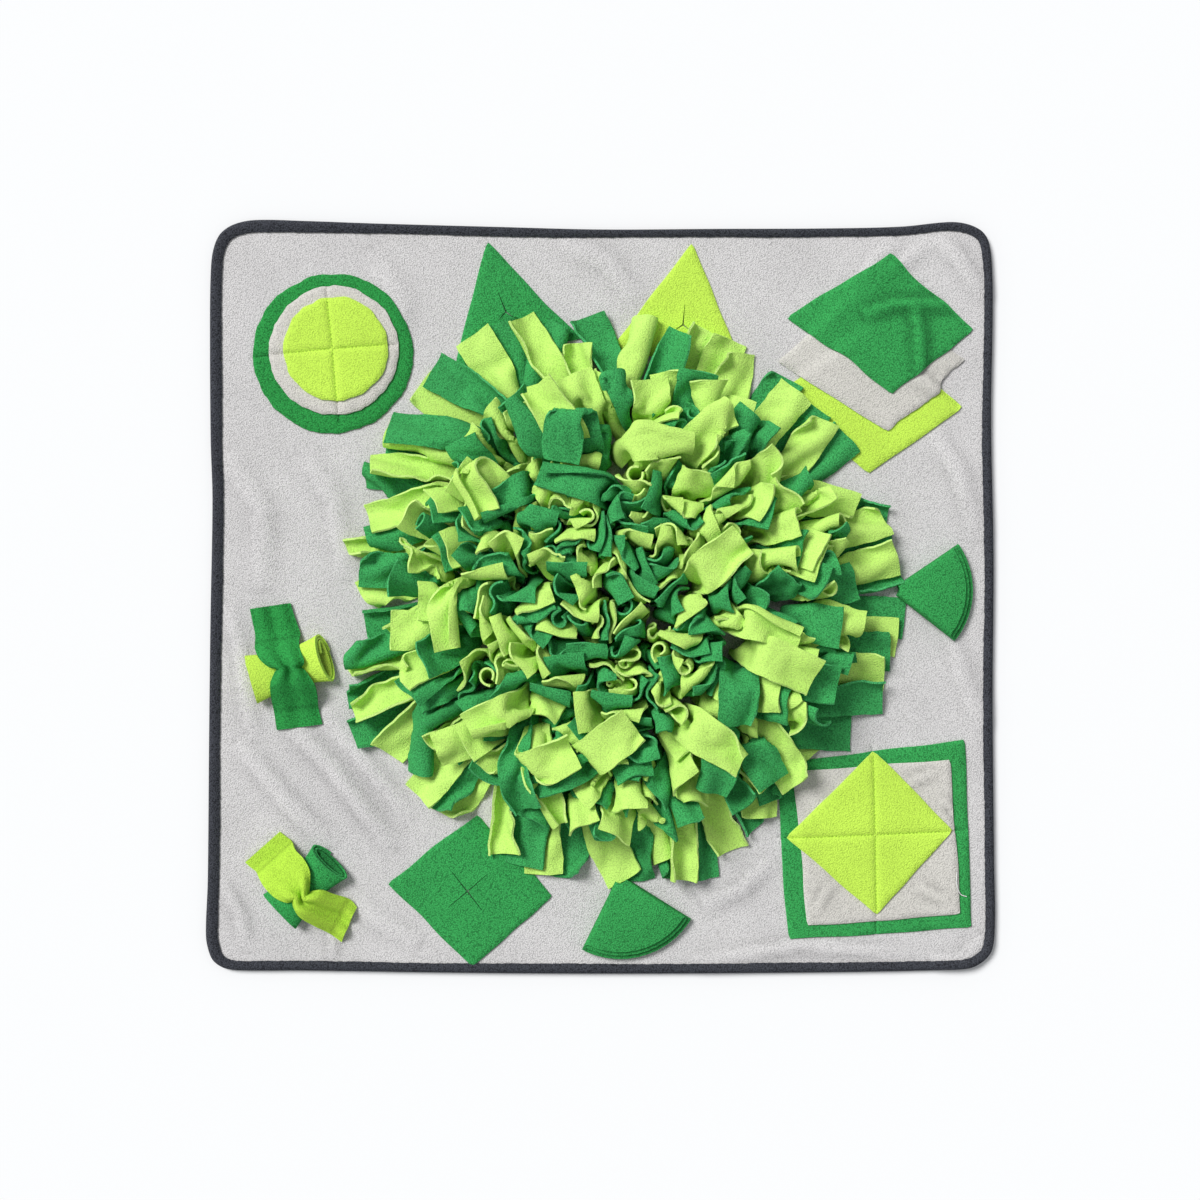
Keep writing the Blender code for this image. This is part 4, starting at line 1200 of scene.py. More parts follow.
def fleece(name, colour, cut_colour, mottle):
    """Short-pile fleece: pebbled and matt, with a soft sheen, paler where it is cut, and darkened by
    painted shade where its painted_shade attribute says."""
    made = bpy.data.materials.new(name)
    made.use_nodes = True
    nodes = made.node_tree.nodes

    def reckon(operation, *values):
        node = nodes.new("ShaderNodeMath")
        node.operation = operation
        return plug(node, dict(enumerate(values))).outputs["Value"]

    def spread(value, low, high, least, most):
        node = nodes.new("ShaderNodeMapRange")
        span = {"From Min": low, "From Max": high, "To Min": least, "To Max": most}
        return plug(node, {**span, "Value": value}).outputs["Result"]

    def read(attribute):
        node = nodes.new("ShaderNodeAttribute")
        node.attribute_name = attribute
        return node.outputs["Fac"]

    def noise(**inputs):
        return plug(nodes.new("ShaderNodeTexNoise"), {**inputs, "Vector": place}).outputs["Fac"]

    place = nodes.new("ShaderNodeTexCoord").outputs["Object"]
    pebbles = plug(
        nodes.new("ShaderNodeTexVoronoi"), {"Scale": CLUMP_SCALE, "Randomness": 1.0, "Vector": place}
    )
    fuzz = noise(Scale=FUZZ_SCALE, Detail=2.0, Roughness=0.6)
    grain = reckon("SUBTRACT", fuzz, pebbles.outputs["Distance"])
    drift = spread(noise(Scale=WEAR_SCALE, Detail=3.0), 0.3, 0.7, 0.95, 1.05)
    shade = spread(grain, -0.35, 0.35, 1.0 - mottle, 1.0 + mottle)
    cut = read("cut")
    # Painted shade: the colour is darkened where the painted_shade attribute says, but not on cut edges
    painted_shade_amount = reckon("MULTIPLY", read("painted_shade"), reckon("SUBTRACT", 1.0, cut))
    painted_shade_factor = reckon("MULTIPLY_ADD", painted_shade_amount, -CREASE_SHADE, 1.0)
    shaded = reckon("MULTIPLY", reckon("MULTIPLY", shade, drift), painted_shade_factor)
    paler = nodes.new("ShaderNodeMix")
    paler.data_type = "RGBA"
    plug(paler, {0: cut, 6: (*colour, 1.0), 7: (*cut_colour, 1.0)})
    tone = nodes.new("ShaderNodeVectorMath")
    tone.operation = "SCALE"
    plug(tone, {0: paler.outputs[2], "Scale": shaded})
    bump = plug(nodes.new("ShaderNodeBump"), {"Strength": 1.0, "Distance": GRAIN_DEPTH, "Height": grain})
    looks = {
        "Roughness": 0.95,
        "Specular IOR Level": 0.12,
        "Sheen Weight": 0.12,
        "Sheen Roughness": 0.5,
        "Sheen Tint": (*[min(1.0, c * 1.2 + 0.06) for c in colour], 1.0),
        "Base Color": tone.outputs["Vector"],
        "Normal": bump.outputs["Normal"],
    }
    plug(nodes["Principled BSDF"], looks)
    return made


# Each cloth's slot, what its material's name adds to that, its colour, its cut edge's, and its mottle
CLOTHS = {
    GREEN: ("fleece_green", "", (0.043, 0.360, 0.090), (0.060, 0.41, 0.12), 0.42),
    DEEP_GREEN: ("fleece_green", "_deep", (0.031, 0.310, 0.066), (0.050, 0.36, 0.095), 0.42),
    LIME: ("fleece_lime", "", (0.61, 0.92, 0.105), (0.65, 0.94, 0.17), 0.17),
    DEEP_LIME: ("fleece_lime", "_deep", (0.49, 0.80, 0.070), (0.58, 0.86, 0.14), 0.20),
    PALE: ("fleece_pale", "", (0.69, 0.665, 0.615), (0.74, 0.72, 0.67), 0.19),
    GREY: ("fleece_grey", "", (0.70, 0.68, 0.675), (0.74, 0.73, 0.72), 0.26),
    CHARCOAL: ("binding_charcoal", "", (0.052, 0.055, 0.066), (0.06, 0.065, 0.08), 0.60),
    PILE_GREEN: ("fleece_green", "_strips", (0.052, 0.370, 0.105), (0.075, 0.43, 0.145), 0.40),
    PILE_LIME: ("fleece_lime", "_strips", (0.60, 0.93, 0.195), (0.66, 0.95, 0.26), 0.15),
}
MATERIALS = {cloth: fleece(slot + kind, *looks) for cloth, (slot, kind, *looks) in CLOTHS.items()}
# The stitches' colours: real thread, but each a darker copy of the cloth it lies on, painted shade for the
# shadow down in the seam's ditch
SHADED_THREAD_COLOURS = {
    DEEP_GREEN: ("thread_shaded_green_deep", (0.025, 0.210, 0.050)),
    GREEN: ("thread_shaded_green", (0.028, 0.230, 0.058)),
    LIME: ("thread_shaded_lime", (0.38, 0.56, 0.06)),
    PALE: ("thread_shaded_pale", (0.52, 0.51, 0.47)),
}
SHADED_THREADS = {cloth: fleece(name, colour, colour, 0.1) for cloth, (name, colour) in SHADED_THREAD_COLOURS.items()}


# ---------------------------------------------------------------- the sewn-on pieces


def flat_points(pixels, height):
    """The places on the mat of pixels of the photograph, as flat points."""
    return np.array([on_mat(pixel, height)[:2] for pixel in pixels])


def finish_piece(made, colour, nodes=(), material=None):
    """Gives a piece its material, its place in the frame and the CAD pieces that it replaces."""
    made.data.materials.append(material or MATERIALS[colour])
    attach(made, "root")
    if nodes:
        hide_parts(*nodes)


def lay_sheet(land, node, outline, colour, under="base_panel", slit=(), seams=(), ridges=()):
    slit = flat_points(slit, SHEET_HEIGHT) if slit else ()
    holes = [slit_outline(slit[0], list(slit[1:]))] if len(slit) else []
    flat, triangles = triangulate(outline, holes, mesh_points(outline, holes, seams, NET))
    lying = land.drape()
    x, y = flat[:, 0], flat[:, 1]
    relief = ridge_height(x, y, ridges)
    on_slit = np.zeros(len(flat))
    for hole in holes:
        away = off_loop(x, y, hole)
        on_slit[away < 1e-5] = 1.0
        relief = relief + LIP * np.exp(-((away / LIP_WIDTH) ** 2))
    bottom = land.at(x, y, lying) + relief - ditch_depth(x, y)
    # Painted shade in the hollows beside the sheet's folds
    painted_shade = SHEET_FOLD_SHADE * fold_shade_at(x, y, ridges)
    made = sheet_object(node + "_cloth", flat, triangles, bottom + FLEECE, bottom, painted_shade, on_slit)
    finish_piece(made, colour, [node])
    land.lay(outline, lying + ridge_height(land.x, land.y, ridges) + FLEECE, colour)


def tube_faces(rings):
    """The sides and the ends of a tube of this many rings of points."""
    faces = []
    for ring in range(rings - 1):
        for corner in range(STITCH_SIDES):
            a, b = ring * STITCH_SIDES + corner, ring * STITCH_SIDES + (corner + 1) % STITCH_SIDES
            faces.append((a, a + STITCH_SIDES, b + STITCH_SIDES, b))
    faces.append(tuple(range(STITCH_SIDES)))
    faces.append(tuple(reversed(range((rings - 1) * STITCH_SIDES, rings * STITCH_SIDES))))
    return faces


def stitch(start, ahead, land):
    """The points of one stitch: a short swelling thread that dips into the cloth at its ends."""
    aside = np.array((-ahead[1], ahead[0], 0.0))
    points = []
    for share in np.linspace(0.0, 1.0, STITCH_RINGS):
        place = start + ahead * STITCH_COVER * share * STITCH_PITCH
        place[2] = land.at(place[0], place[1]) - ditch_depth(place[0], place[1])
        place[2] += STITCH_RISE * (math.sin(math.pi * share) - 0.5)
        radius = STITCH_RADIUS * (0.45 + 0.55 * math.sin(math.pi * share))
        for corner in range(STITCH_SIDES):
            turn = 2.0 * math.pi * corner / STITCH_SIDES
            points.append(place + (aside * math.cos(turn) + np.array((0.0, 0.0, math.sin(turn)))) * radius)
    return points


def build_stitching(land):
    """The stitches of every seam, one piece for each colour of cloth that they show on, coloured as a painted
    shade of that cloth.
    """
    points, faces = {}, {}
    for seam in SEAMS.values():
        for start, end in zip(seam[:-1], seam[1:]):
            length = np.linalg.norm(end - start)
            ahead = np.append((end - start) / length, 0.0)
            for number in range(int(length / STITCH_PITCH)):
                place = np.append(start, 0.0) + ahead * (number + STITCH_START) * STITCH_PITCH
                row = int(round((place[1] - GROUND_Y[0]) / CELL))
                column = int(round((place[0] - GROUND_X[0]) / CELL))
                under = str(land.colour[row, column])
                if under == GREY:
                    continue
                first = len(points.setdefault(under, []))
                points[under] += stitch(place, ahead, land)
                sides = [tuple(first + corner for corner in side) for side in tube_faces(STITCH_RINGS)]
                faces.setdefault(under, []).extend(sides)
    for under, sides in faces.items():
        made = new_object("stitching_" + under, points[under], sides, np.zeros(len(sides)))
        finish_piece(made, under, material=SHADED_THREADS[under])


def build_stray_thread(land):
    """The loose end of thread that curls off the grey square's edge."""
    knots = flat_points(STRAY_THREAD, THREAD_HEIGHT)
    height = land.at(knots[:, 0], knots[:, 1]) + STITCH_RADIUS + np.array(THREAD_ABOVE)
    route = smooth_route(np.column_stack((knots, height)), THREAD_POINTS)
    ahead = np.gradient(route, axis=0)
    aside = np.cross(ahead, (0.0, 0.0, 1.0))
    aside /= np.linalg.norm(aside, axis=1, keepdims=True)
    upward = np.cross(aside, ahead)
    upward /= np.linalg.norm(upward, axis=1, keepdims=True)
    turns = 2.0 * math.pi * np.arange(STITCH_SIDES) / STITCH_SIDES
    sides = [route + (aside * math.cos(turn) + upward * math.sin(turn)) * THREAD_RADIUS for turn in turns]
    faces = tube_faces(len(route))
    made = new_object("stray_thread", np.stack(sides, axis=1).reshape(-1, 3), faces, np.zeros(len(faces)))
    white = (0.86, 0.86, 0.84)
    finish_piece(made, PALE, material=fleece("thread_loose", white, white, 0.05))


def panel_outline():
    """The mat's outline as the photograph shows it, a little crooked, the way inwards from each of its
    points, and the binding's width there."""
    knots = np.array(EDGE_PIXELS, float)
    edge = np.column_stack((flat_points(knots[:, :2], EDGE_HEIGHT), knots[:, 2] * PIXEL))
    loop = smooth_loop(edge, EDGE_POINTS)
    loop, width = loop[:, :2], loop[:, 2]
    ahead = np.roll(loop, -2, axis=0) - np.roll(loop, 2, axis=0)
    ahead /= np.linalg.norm(ahead, axis=1, keepdims=True)
    return loop, np.stack((-ahead[:, 1], ahead[:, 0]), axis=1), width


def smooth_loop(knots, count):
    """Evenly spaced points round a smooth closed curve through a few knots; what follows their first two
    numbers goes along."""
    around = np.vstack((knots[-1:], knots, knots[:2]))
    fine = []
    for number in range(len(knots)):
        before, start, end, after = around[number : number + 4]
        gaps = [np.linalg.norm((q - p)[:2]) for p, q in ((before, start), (start, end), (end, after))]
        slope_in = (end - before) / (gaps[0] + gaps[1]) * gaps[1]
        slope_out = (after - start) / (gaps[1] + gaps[2]) * gaps[1]
        for share in np.linspace(0.0, 1.0, LOOP_STEPS, endpoint=False):
            start_part = 2 * share**3 - 3 * share**2 + 1
            inner = (share**3 - 2 * share**2 + share) * slope_in + (share**3 - share**2) * slope_out
            fine.append(start_part * start + (1 - start_part) * end + inner)
    closed = np.array([*fine, fine[0]])
    return spread_evenly(closed, distances(closed[:, :2]), count, endpoint=False)


def build_panel(land):
    """The grey panel, with its soft wrinkles."""
    loop, inward, _ = panel_outline()
    outline = counterclockwise((loop + inward * PANEL_INSET)[::PANEL_EVERY])
    flat, triangles = triangulate(outline, [], mesh_points(outline, [], SEAMS.values(), PANEL_NET))
    x, y = flat[:, 0], flat[:, 1]
    top = land.at(x, y) - ditch_depth(x, y)
    under, uncut = np.full(len(flat), PANEL_UNDER), np.zeros(len(flat))
    # Painted shade in the hollows beside the wrinkles, and a faint painted highlight on their tops
    painted_shade = fold_shade_at(x, y, WRINKLES)
    made = sheet_object("base_panel_cloth", flat, triangles, top, under, painted_shade, uncut)
    finish_piece(made, GREY, ["base_panel"])


def build_binding(land):
    """Knit tape folded over the panel's edge: a soft C section swept round it, a little uneven."""
    random = np.random.default_rng(BINDING_SEED)
    loop, inward, width = (np.concatenate((part, part[:1])) for part in panel_outline())
    turn = np.linspace(0.0, 2.0 * math.pi, len(loop))
    height = np.ones(len(loop))
    for waves, uneven in BINDING_WAVES:
        size = uneven * BINDING_WANDER * random.uniform(0.4, 1)
        width += size * np.cos(waves * turn + random.uniform(0, ANY_TURN))
        size = BINDING_SWELL * uneven * random.uniform(-1, 1)
        height += size * np.cos(waves * turn + random.uniform(0, ANY_TURN))
    inner = loop + inward * width[:, None]
    panel_there = land.at(inner[:, 0], inner[:, 1])
    section = []
    for share, above in BINDING_UPPER:
        level = panel_there + TAPE / 2 + AIR + above * height
        section.append(np.column_stack((loop + inward * (width * share)[:, None], level)))
    for share, level in BINDING_LOWER:
        place = loop + inward * BINDING_UNDER * share
        section.append(np.column_stack((place, np.full(len(loop), level))))
    made = strips_mesh("edge_binding_tape", np.stack(section)[None], TAPE)
    finish_piece(made, CHARCOAL, ["edge_binding"])


def fan_section(half):
    """The points across a fan, aside and up: there and back through four layers with rounded folds, and
    down round the outside of the last one."""
    bend = FAN_PITCH / 2
    path = [(share * half, 0.0) for share in np.linspace(0.0, 1.0, 7)]
    for layer in range(3):
        side = 1.0 if layer % 2 == 0 else -1.0
        middle = layer * FAN_PITCH + bend
        for turn in np.linspace(-0.33, 0.33, 5) * math.pi:
            path.append((side * (half + bend * math.cos(turn)), middle + bend * math.sin(turn)))
        level = (layer + 1) * FAN_PITCH
        path += [(side * half * share, level) for share in np.linspace(1.0, -1.0, 12)]
    for turn in np.linspace(0.42, -0.42, 9) * math.pi:
        path.append((-half - 1.6 * bend * math.cos(turn), 1.5 * FAN_PITCH * (1.0 + math.sin(turn))))
    return path + [(-half * share, 0.0) for share in np.linspace(1.0, 0.08, 6)]


def fan_shape(tip, heading, half_angle, radius, spread, lowest):
    """A disc folded in four, as a grid from its middle outwards, and the painted shade on its lower layers.
    """
    shape, painted_shade = [], []
    for row in range(FAN_ROWS):
        share = row / (FAN_ROWS - 1)
        out = FAN_START + (radius - FAN_START) * row / (FAN_ROWS - 1)
        line, dark = [], []
        for off, level in fan_section(max(out * half_angle - FAN_PITCH / 2, FAN_LEAST)):
            lower = min(1.5 * (1.0 - level / (3.0 * FAN_PITCH)), 1.0)
            reach = out + spread * lower * row / (FAN_ROWS - 1)
            swell = FAN_SWELL * math.sin(math.pi * share) * level / FAN_PITCH
            angle = heading + off / out
            place = (tip[0] + reach * math.cos(angle), tip[1] + reach * math.sin(angle))
            line.append((*place, lowest + level + swell))
            dark.append(FAN_PAINTED_SHADE * lower)
        shape.append(line)
        painted_shade.append(dark)
    return np.array(shape), np.array(painted_shade)


def build_fan(node, pixel_tip, heading, half_angle, radius, spread):
    """A disc folded in four and sewn down by its tip; its lower layers spread further than its upper ones."""
    tip = on_mat(pixel_tip, PANEL_TOP)
    lowest = PANEL_TOP + AIR + FLEECE / 2
    shape, painted_shade = fan_shape(tip, math.radians(heading), math.radians(half_angle), radius, spread, lowest)
    made = strips_mesh(node + "_cloth", shape[None], FLEECE, painted_shade)
    finish_piece(made, GREEN, [node])


def roll_shape(start, end, half_end, half_waist, turns, pitch):
    """A sheet rolled up loosely into a flat spiral, narrower halfway along where it is tied down."""
    ahead = unit(end - start)
    aside = np.array((-ahead[1], ahead[0], 0.0))
    length = np.linalg.norm(end - start)
    steps = np.linspace(0.0, 2.0 * math.pi * turns, int(ROLL_STEPS * turns))
    inner = pitch * steps / (2.0 * math.pi)
    shape = []
    for row in range(ROLL_ROWS):
        share = row / (ROLL_ROWS - 1)
        opened = abs(2.0 * share - 1.0) ** ROLL_FLARE
        wide = half_waist + (half_end - half_waist) * opened
        high = ROLL_WAIST + (ROLL_END - ROLL_WAIST) * opened
        middle = PANEL_TOP + AIR + FLEECE / 2 + high
        across = (wide - inner) * np.cos(steps + ROLL_SEAM)
        level = middle + np.maximum(high - inner, ROLL_PULLED) * np.sin(steps + ROLL_SEAM)
        raised = level - middle + high
        slant = ROLL_SLANT * raised * (1.0 - share) ** 2 - MOUTH * raised * share**3
        slant += ROLL_WAVER * np.sin(steps * WAVER_TURNS + ROLL_SEAM) * (2.0 * share - 1.0)
        place = start + ahead * length * share
        line = place[None] + np.outer(across, aside) + np.outer(slant, ahead)
        line[:, 2] = level
        shape.append(line)
    return np.array(shape)


def build_roll(node, colour, ends, half_end, half_waist, turns, pitch):
    """A roll between two pixels, with painted shade inside the mouth at its second end."""
    start, end = (on_mat(pixel, ROLL_HEIGHT) for pixel in ends)
    start[2] = end[2] = 0.0
    shape = roll_shape(start, end, half_end, half_waist, turns, pitch)
    rows, columns = shape.shape[:2]
    deep = np.clip(np.arange(columns) / columns * turns - MOUTH_PAINTED_SHADE[0], 0.0, 1.0)
    near_end = np.linspace(0.0, 1.0, rows)[:, None] > 0.5
    painted_shade = MOUTH_PAINTED_SHADE[1] * np.minimum(deep * MOUTH_GROWTH, 1.0) * near_end
    made = strips_mesh(node + "_cloth", shape[None], FLEECE, painted_shade)
    finish_piece(made, colour, [node])


def gathered_line(chord, width, waves):
    """The points across a ribbon of this width that is gathered to a narrower one, in soft waves."""
    middles = (np.arange(RIBBON_ACROSS - 1) + 0.5) / (RIBBON_ACROSS - 1)
    swing = min(2.0 * math.sqrt(max(1.0 - chord / width, 0.0)), GATHER_LIMIT)
    heading = swing * np.sin(2.0 * math.pi * waves * middles)
    steps = np.stack((np.cos(heading), np.sin(heading)), axis=1) * width / (RIBBON_ACROSS - 1)
    points = np.vstack((np.zeros(2), np.cumsum(steps, axis=0)))
    points[:, 0] *= chord / points[-1, 0]
    points[:, 1] -= np.interp(points[:, 0], (points[0, 0], points[-1, 0]), (points[0, 1], points[-1, 1]))
    return points


def build_strap(node, colour, stations, width, waves, creases):
    """A ribbon laid over a roll and pinched in over its waist, lofted through the given stations; the
    creases are shares of its length."""
    left = smooth_route([on_mat(station.left, station.level) for station in stations], RIBBON_ALONG)
    right = smooth_route([on_mat(station.right, station.level) for station in stations], RIBBON_ALONG)
    shape, painted_shade = [], []
    for row in range(RIBBON_ALONG):
        chord = np.linalg.norm((right[row] - left[row])[:2])
        line = gathered_line(chord, max(width, chord * 1.01), waves)
        points = left[row][None] + np.outer(line[:, 0] / line[-1, 0], right[row] - left[row])
        raised = line[:, 1] - line[:, 1].min()
        points[:, 2] += raised
        along = row / (RIBBON_ALONG - 1)
        # Painted shade in the pinch's folds and along the creases
        pinch = PINCH_PAINTED_SHADE * max(PINCH_FROM - chord / width, 0.0) * PINCH_GROWTH
        dark = pinch * np.clip(1.0 - raised / PINCH_DEPTH, 0.0, 1.0)
        for place in creases:
            dark = dark + STRAP_CREASE_SHADE * math.exp(-(((along - place) / CREASE_WIDTH) ** 2))
        shape.append(points)
        painted_shade.append(dark)
    shape = np.array(shape)
    made = strips_mesh(node + "_cloth", shape[None], FLEECE, np.array(painted_shade))
    finish_piece(made, colour, [node])


# The mat's outline: pixels on its edge, and how many pixels wide the binding is there
EDGE_PIXELS = (
    (210.5, 330, 11.2), (211.2, 440, 11.2), (213, 500, 11), (211, 620, 10.8), (209.6, 740, 10.8),
    (208.3, 880, 10.9), (206.4, 928, 11.8), (207.5, 944, 12), (213.5, 960, 11.5), (226, 968, 10),
    (244, 969.8, 9.2), (305, 969.9, 9.1), (450, 972, 9.2), (600, 973, 9.4), (800, 972, 9.4),
    (942, 969.5, 9.4), (970.2, 967.4, 9.8), (984, 960, 9.8), (991.8, 949, 9.4), (994.4, 922, 9.2),
    (993.5, 860, 9.1), (992, 700, 9), (993, 560, 9), (990.5, 420, 8.6), (992.1, 315, 8.2),
    (991.5, 268, 8.2), (988.1, 242, 8.4), (981, 231.2, 8.6), (966, 224.3, 8.6), (948, 222.6, 8.2),
    (900, 227.2, 8.4), (820, 229, 8), (720, 229.4, 7.6), (600, 230, 7.6), (500, 227.5, 9), (375, 224, 9.6),
    (305, 221.5, 11), (255, 220.6, 12), (234, 225, 12), (220.5, 234.5, 12), (213.6, 251, 11.6),
    (211.2, 275, 11.2),
)

# The lines of stitching that show
SEAMS = {
    "discs_up": flat_points(((325.5, 286), (332.4, 348.5), (338.5, 424)), 0.010),
    "discs_across": flat_points(((254, 356), (332.4, 348.5), (396, 344)), 0.010),
    "squares_up": flat_points(((873.6, 748), (875.5, 835), (877, 934)), 0.010),
    "squares_across": flat_points(((780, 839), (875.5, 835), (966, 831)), 0.010),
    "flaps": flat_points(((892, 257), (969, 328)), 0.010),
    "lime_flap": flat_points(((944, 393), (958, 406)), 0.006),
}

# The panel's wrinkles: the pixels along each one, its width and its height
WRINKLES = folds(0.005, (
    (((812, 345), (850, 296), (893, 236)), 0.008, 0.0028),
    (((846, 322), (880, 280), (935, 236)), 0.007, 0.0022),
    (((935, 236), (962, 262), (984, 300)), 0.007, 0.0024),
    (((930, 430), (958, 470), (978, 540)), 0.008, 0.0026),
    (((946, 620), (964, 680), (984, 730)), 0.008, 0.0022),
    (((282, 716), (330, 766), (395, 850)), 0.008, 0.0046),
    (((236, 740), (290, 805), (332, 846)), 0.008, 0.0036),
    (((318, 712), (355, 750), (412, 820)), 0.007, 0.0022),
    (((226, 600), (238, 640), (252, 740)), 0.007, 0.0024),
    (((225, 450), (262, 510), (262, 590)), 0.010, 0.0026),
    (((300, 452), (334, 500), (345, 580)), 0.009, 0.0022),
    (((690, 962), (800, 945), (910, 954)), 0.006, 0.0026),
    (((930, 962), (965, 958), (984, 935)), 0.006, 0.0024),
    (((560, 240), (606, 262), (640, 305)), 0.009, 0.0024),
    (((330, 962), (333, 945), (330, 930)), 0.004, 0.0018),
    (((700, 905), (740, 890), (772, 860)), 0.007, 0.0024),
    (((370, 250), (400, 300), (396, 350)), 0.010, 0.0020),
    (((218, 880), (240, 915), (246, 950)), 0.006, 0.0024),
    (((352, 905), (385, 925), (420, 945)), 0.008, 0.0020),
))

STRAY_THREAD = ((957, 872), (956.5, 884), (960.5, 894), (967, 897))

# The straps' stations: the pixels of a strap's two edges, and how high it is there
Station = namedtuple("Station", "left right level")
GREEN_STRAP = [Station(*station) for station in (
    ((250.2, 608.9), (290.4, 603.1), 0.0056), ((252.7, 621.0), (295.1, 618.0), 0.0058),
    ((255.4, 634.5), (300.4, 633.5), 0.0060), ((255.2, 643.0), (299.0, 641.0), 0.0110),
    ((255.3, 650.0), (300.4, 651.0), 0.0165), ((259.5, 659.0), (304.0, 660.0), 0.0212),
    ((268.5, 666.3), (303.8, 664.0), 0.0213), ((276.8, 668.6), (301.5, 667.0), 0.0192),
    ((274.4, 673.5), (306.5, 672.5), 0.0206), ((270.5, 684.0), (314.3, 684.0), 0.0208),
    ((271.2, 696.5), (317.3, 695.0), 0.0140), ((274.2, 711.0), (318.5, 708.0), 0.0062),
    ((277.0, 729.9), (322.4, 724.1), 0.0056),
)]
LIME_STRAP = [Station(*station) for station in (
    ((279.8, 831.6), (245.3, 862.2), 0.0056), ((286.0, 836.5), (251.0, 867.3), 0.0058),
    ((292.0, 841.3), (256.5, 871.7), 0.0062), ((295.5, 850.0), (260.0, 879.5), 0.0135),
    ((303.5, 858.5), (265.5, 888.5), 0.0190), ((309.5, 870.0), (275.0, 897.5), 0.0210),
    ((309.8, 881.5), (286.0, 902.2), 0.0210), ((309.0, 891.8), (292.5, 901.2), 0.0188),
    ((313.5, 891.3), (293.8, 907.0), 0.0200), ((322.0, 889.8), (300.0, 917.0), 0.0208),
    ((334.0, 894.0), (314.0, 925.5), 0.0140), ((349.5, 899.0), (329.7, 933.2), 0.0065),
    ((356.8, 907.0), (341.8, 941.8), 0.0056),
)]

# The corners of the sewn-on pieces
TRIANGLE_GREEN = ((487.5, 242), (581, 338), (454, 372))
TRIANGLE_LIME = ((692.3, 243.4), (610, 349), (743.4, 367.3))
FLAP_LIME = ((775, 395), (868.5, 473), (962.2, 407.5), (869, 329))
FLAP_GREY = ((778, 361.5), (887, 431), (921, 406), (938, 394), (941, 380), (965.5, 360), (858, 293))
FLAP_GREEN = ((892, 252), (788, 317), (892, 394), (974.4, 329))
DIAMOND_GREEN = ((388, 883.6), (472.4, 966.7), (551.8, 897), (478, 815))
SQUARE_GREEN = ((775, 765), (789.5, 938.7), (971.6, 927.3), (964.4, 739.9))
SQUARE_GREY = ((793, 772), (807.4, 925), (960, 914), (950, 760))
DIAMOND_LIME = ((874, 751.6), (787, 837.7), (876.4, 914.8), (952.5, 830.8))

# Each slit's middle and the ends of its arms
SLITS = {
    "triangle_green": ((506, 312), (498, 292), (498, 321), (515, 319)),
    "triangle_lime": ((683, 325), (685, 304), (669, 334), (697, 335)),
    "diamond_green": ((467.6, 891.5), (451.2, 870.9), (487, 874.5), (482.7, 910.9), (447.6, 907.9)),
}

# Folds and puckers: the pixels along each one, its width and its height
FLAP_GREY_KINK = ((((905, 372), (935, 387), (948, 372)), 0.006, 0.0012),)
FLAP_GREEN_FOLDS = (
    (((862, 314), (893, 304), (921, 303), (958, 303)), 0.0055, 0.0050),
    (((915, 298), (919, 325), (921, 378)), 0.0055, 0.0050),
)
SQUARE_PUCKERS = (
    (((905, 785), (918, 778), (935, 772)), 0.004, 0.0011),
    (((915, 885), (930, 893), (948, 899)), 0.004, 0.0011),
    (((835, 880), (822, 896), (815, 915)), 0.004, 0.0009),
    (((940, 800), (950, 806), (958, 820)), 0.003, 0.0008),
)


def build_sewn_pieces(land):
    """The flat pieces, each laid over what is under it, from the bottom of each stack to its top."""

    def cut(pixels, seed, height=SHEET_HEIGHT, wander=SIDE_WANDER):
        return cut_outline(flat_points(pixels, height), np.random.default_rng(seed), wander)

    lay = partial(lay_sheet, land)
    large, middle, small = flat_points(((332, 352.7), (333.5, 350), (335.7, 348.8)), STACK_HEIGHT)
    seams = (SEAMS["discs_up"], SEAMS["discs_across"])
    lay("disc_green", cut_disc(large, 79 * PIXEL, 1, 29), DEEP_GREEN, seams=seams)
    lay("disc_grey", cut_disc(middle, 64 * PIXEL, 2, 21), PALE, "disc_green", seams=seams)
    lay("disc_lime", cut_disc(small, 52 * PIXEL, 3, 17), LIME, "disc_grey", seams=seams)
    lay("triangle_green", cut(TRIANGLE_GREEN, 4), GREEN, slit=SLITS["triangle_green"])
    lay("triangle_lime", cut(TRIANGLE_LIME, 5), LIME, slit=SLITS["triangle_lime"])
    lay("diamond_green", cut(DIAMOND_GREEN, 6), GREEN, slit=SLITS["diamond_green"])
    lay("flap_lime", cut(FLAP_LIME, 7), LIME, seams=(SEAMS["lime_flap"],))
    lay("flap_grey", cut(FLAP_GREY, 8), PALE, "flap_lime", ridges=folds(PAIR_HEIGHT, FLAP_GREY_KINK))
    outline = cut(FLAP_GREEN, 9, STACK_HEIGHT, 0.0018)
    ridges = folds(STACK_HEIGHT, FLAP_GREEN_FOLDS)
    lay("flap_green", outline, GREEN, "flap_grey", seams=(SEAMS["flaps"],), ridges=ridges)
    seams = (SEAMS["squares_up"], SEAMS["squares_across"])
    lay("square_green", cut(SQUARE_GREEN, 10, wander=0.0016), GREEN, seams=seams)
    ridges = folds(PAIR_HEIGHT, SQUARE_PUCKERS)
    lay("square_grey", cut(SQUARE_GREY, 11, PAIR_HEIGHT), PALE, "square_green", seams=seams, ridges=ridges)
    outline = cut(DIAMOND_LIME, 12, STACK_HEIGHT, 0.0009)
    lay("diamond_lime", outline, LIME, "square_grey", seams=seams)


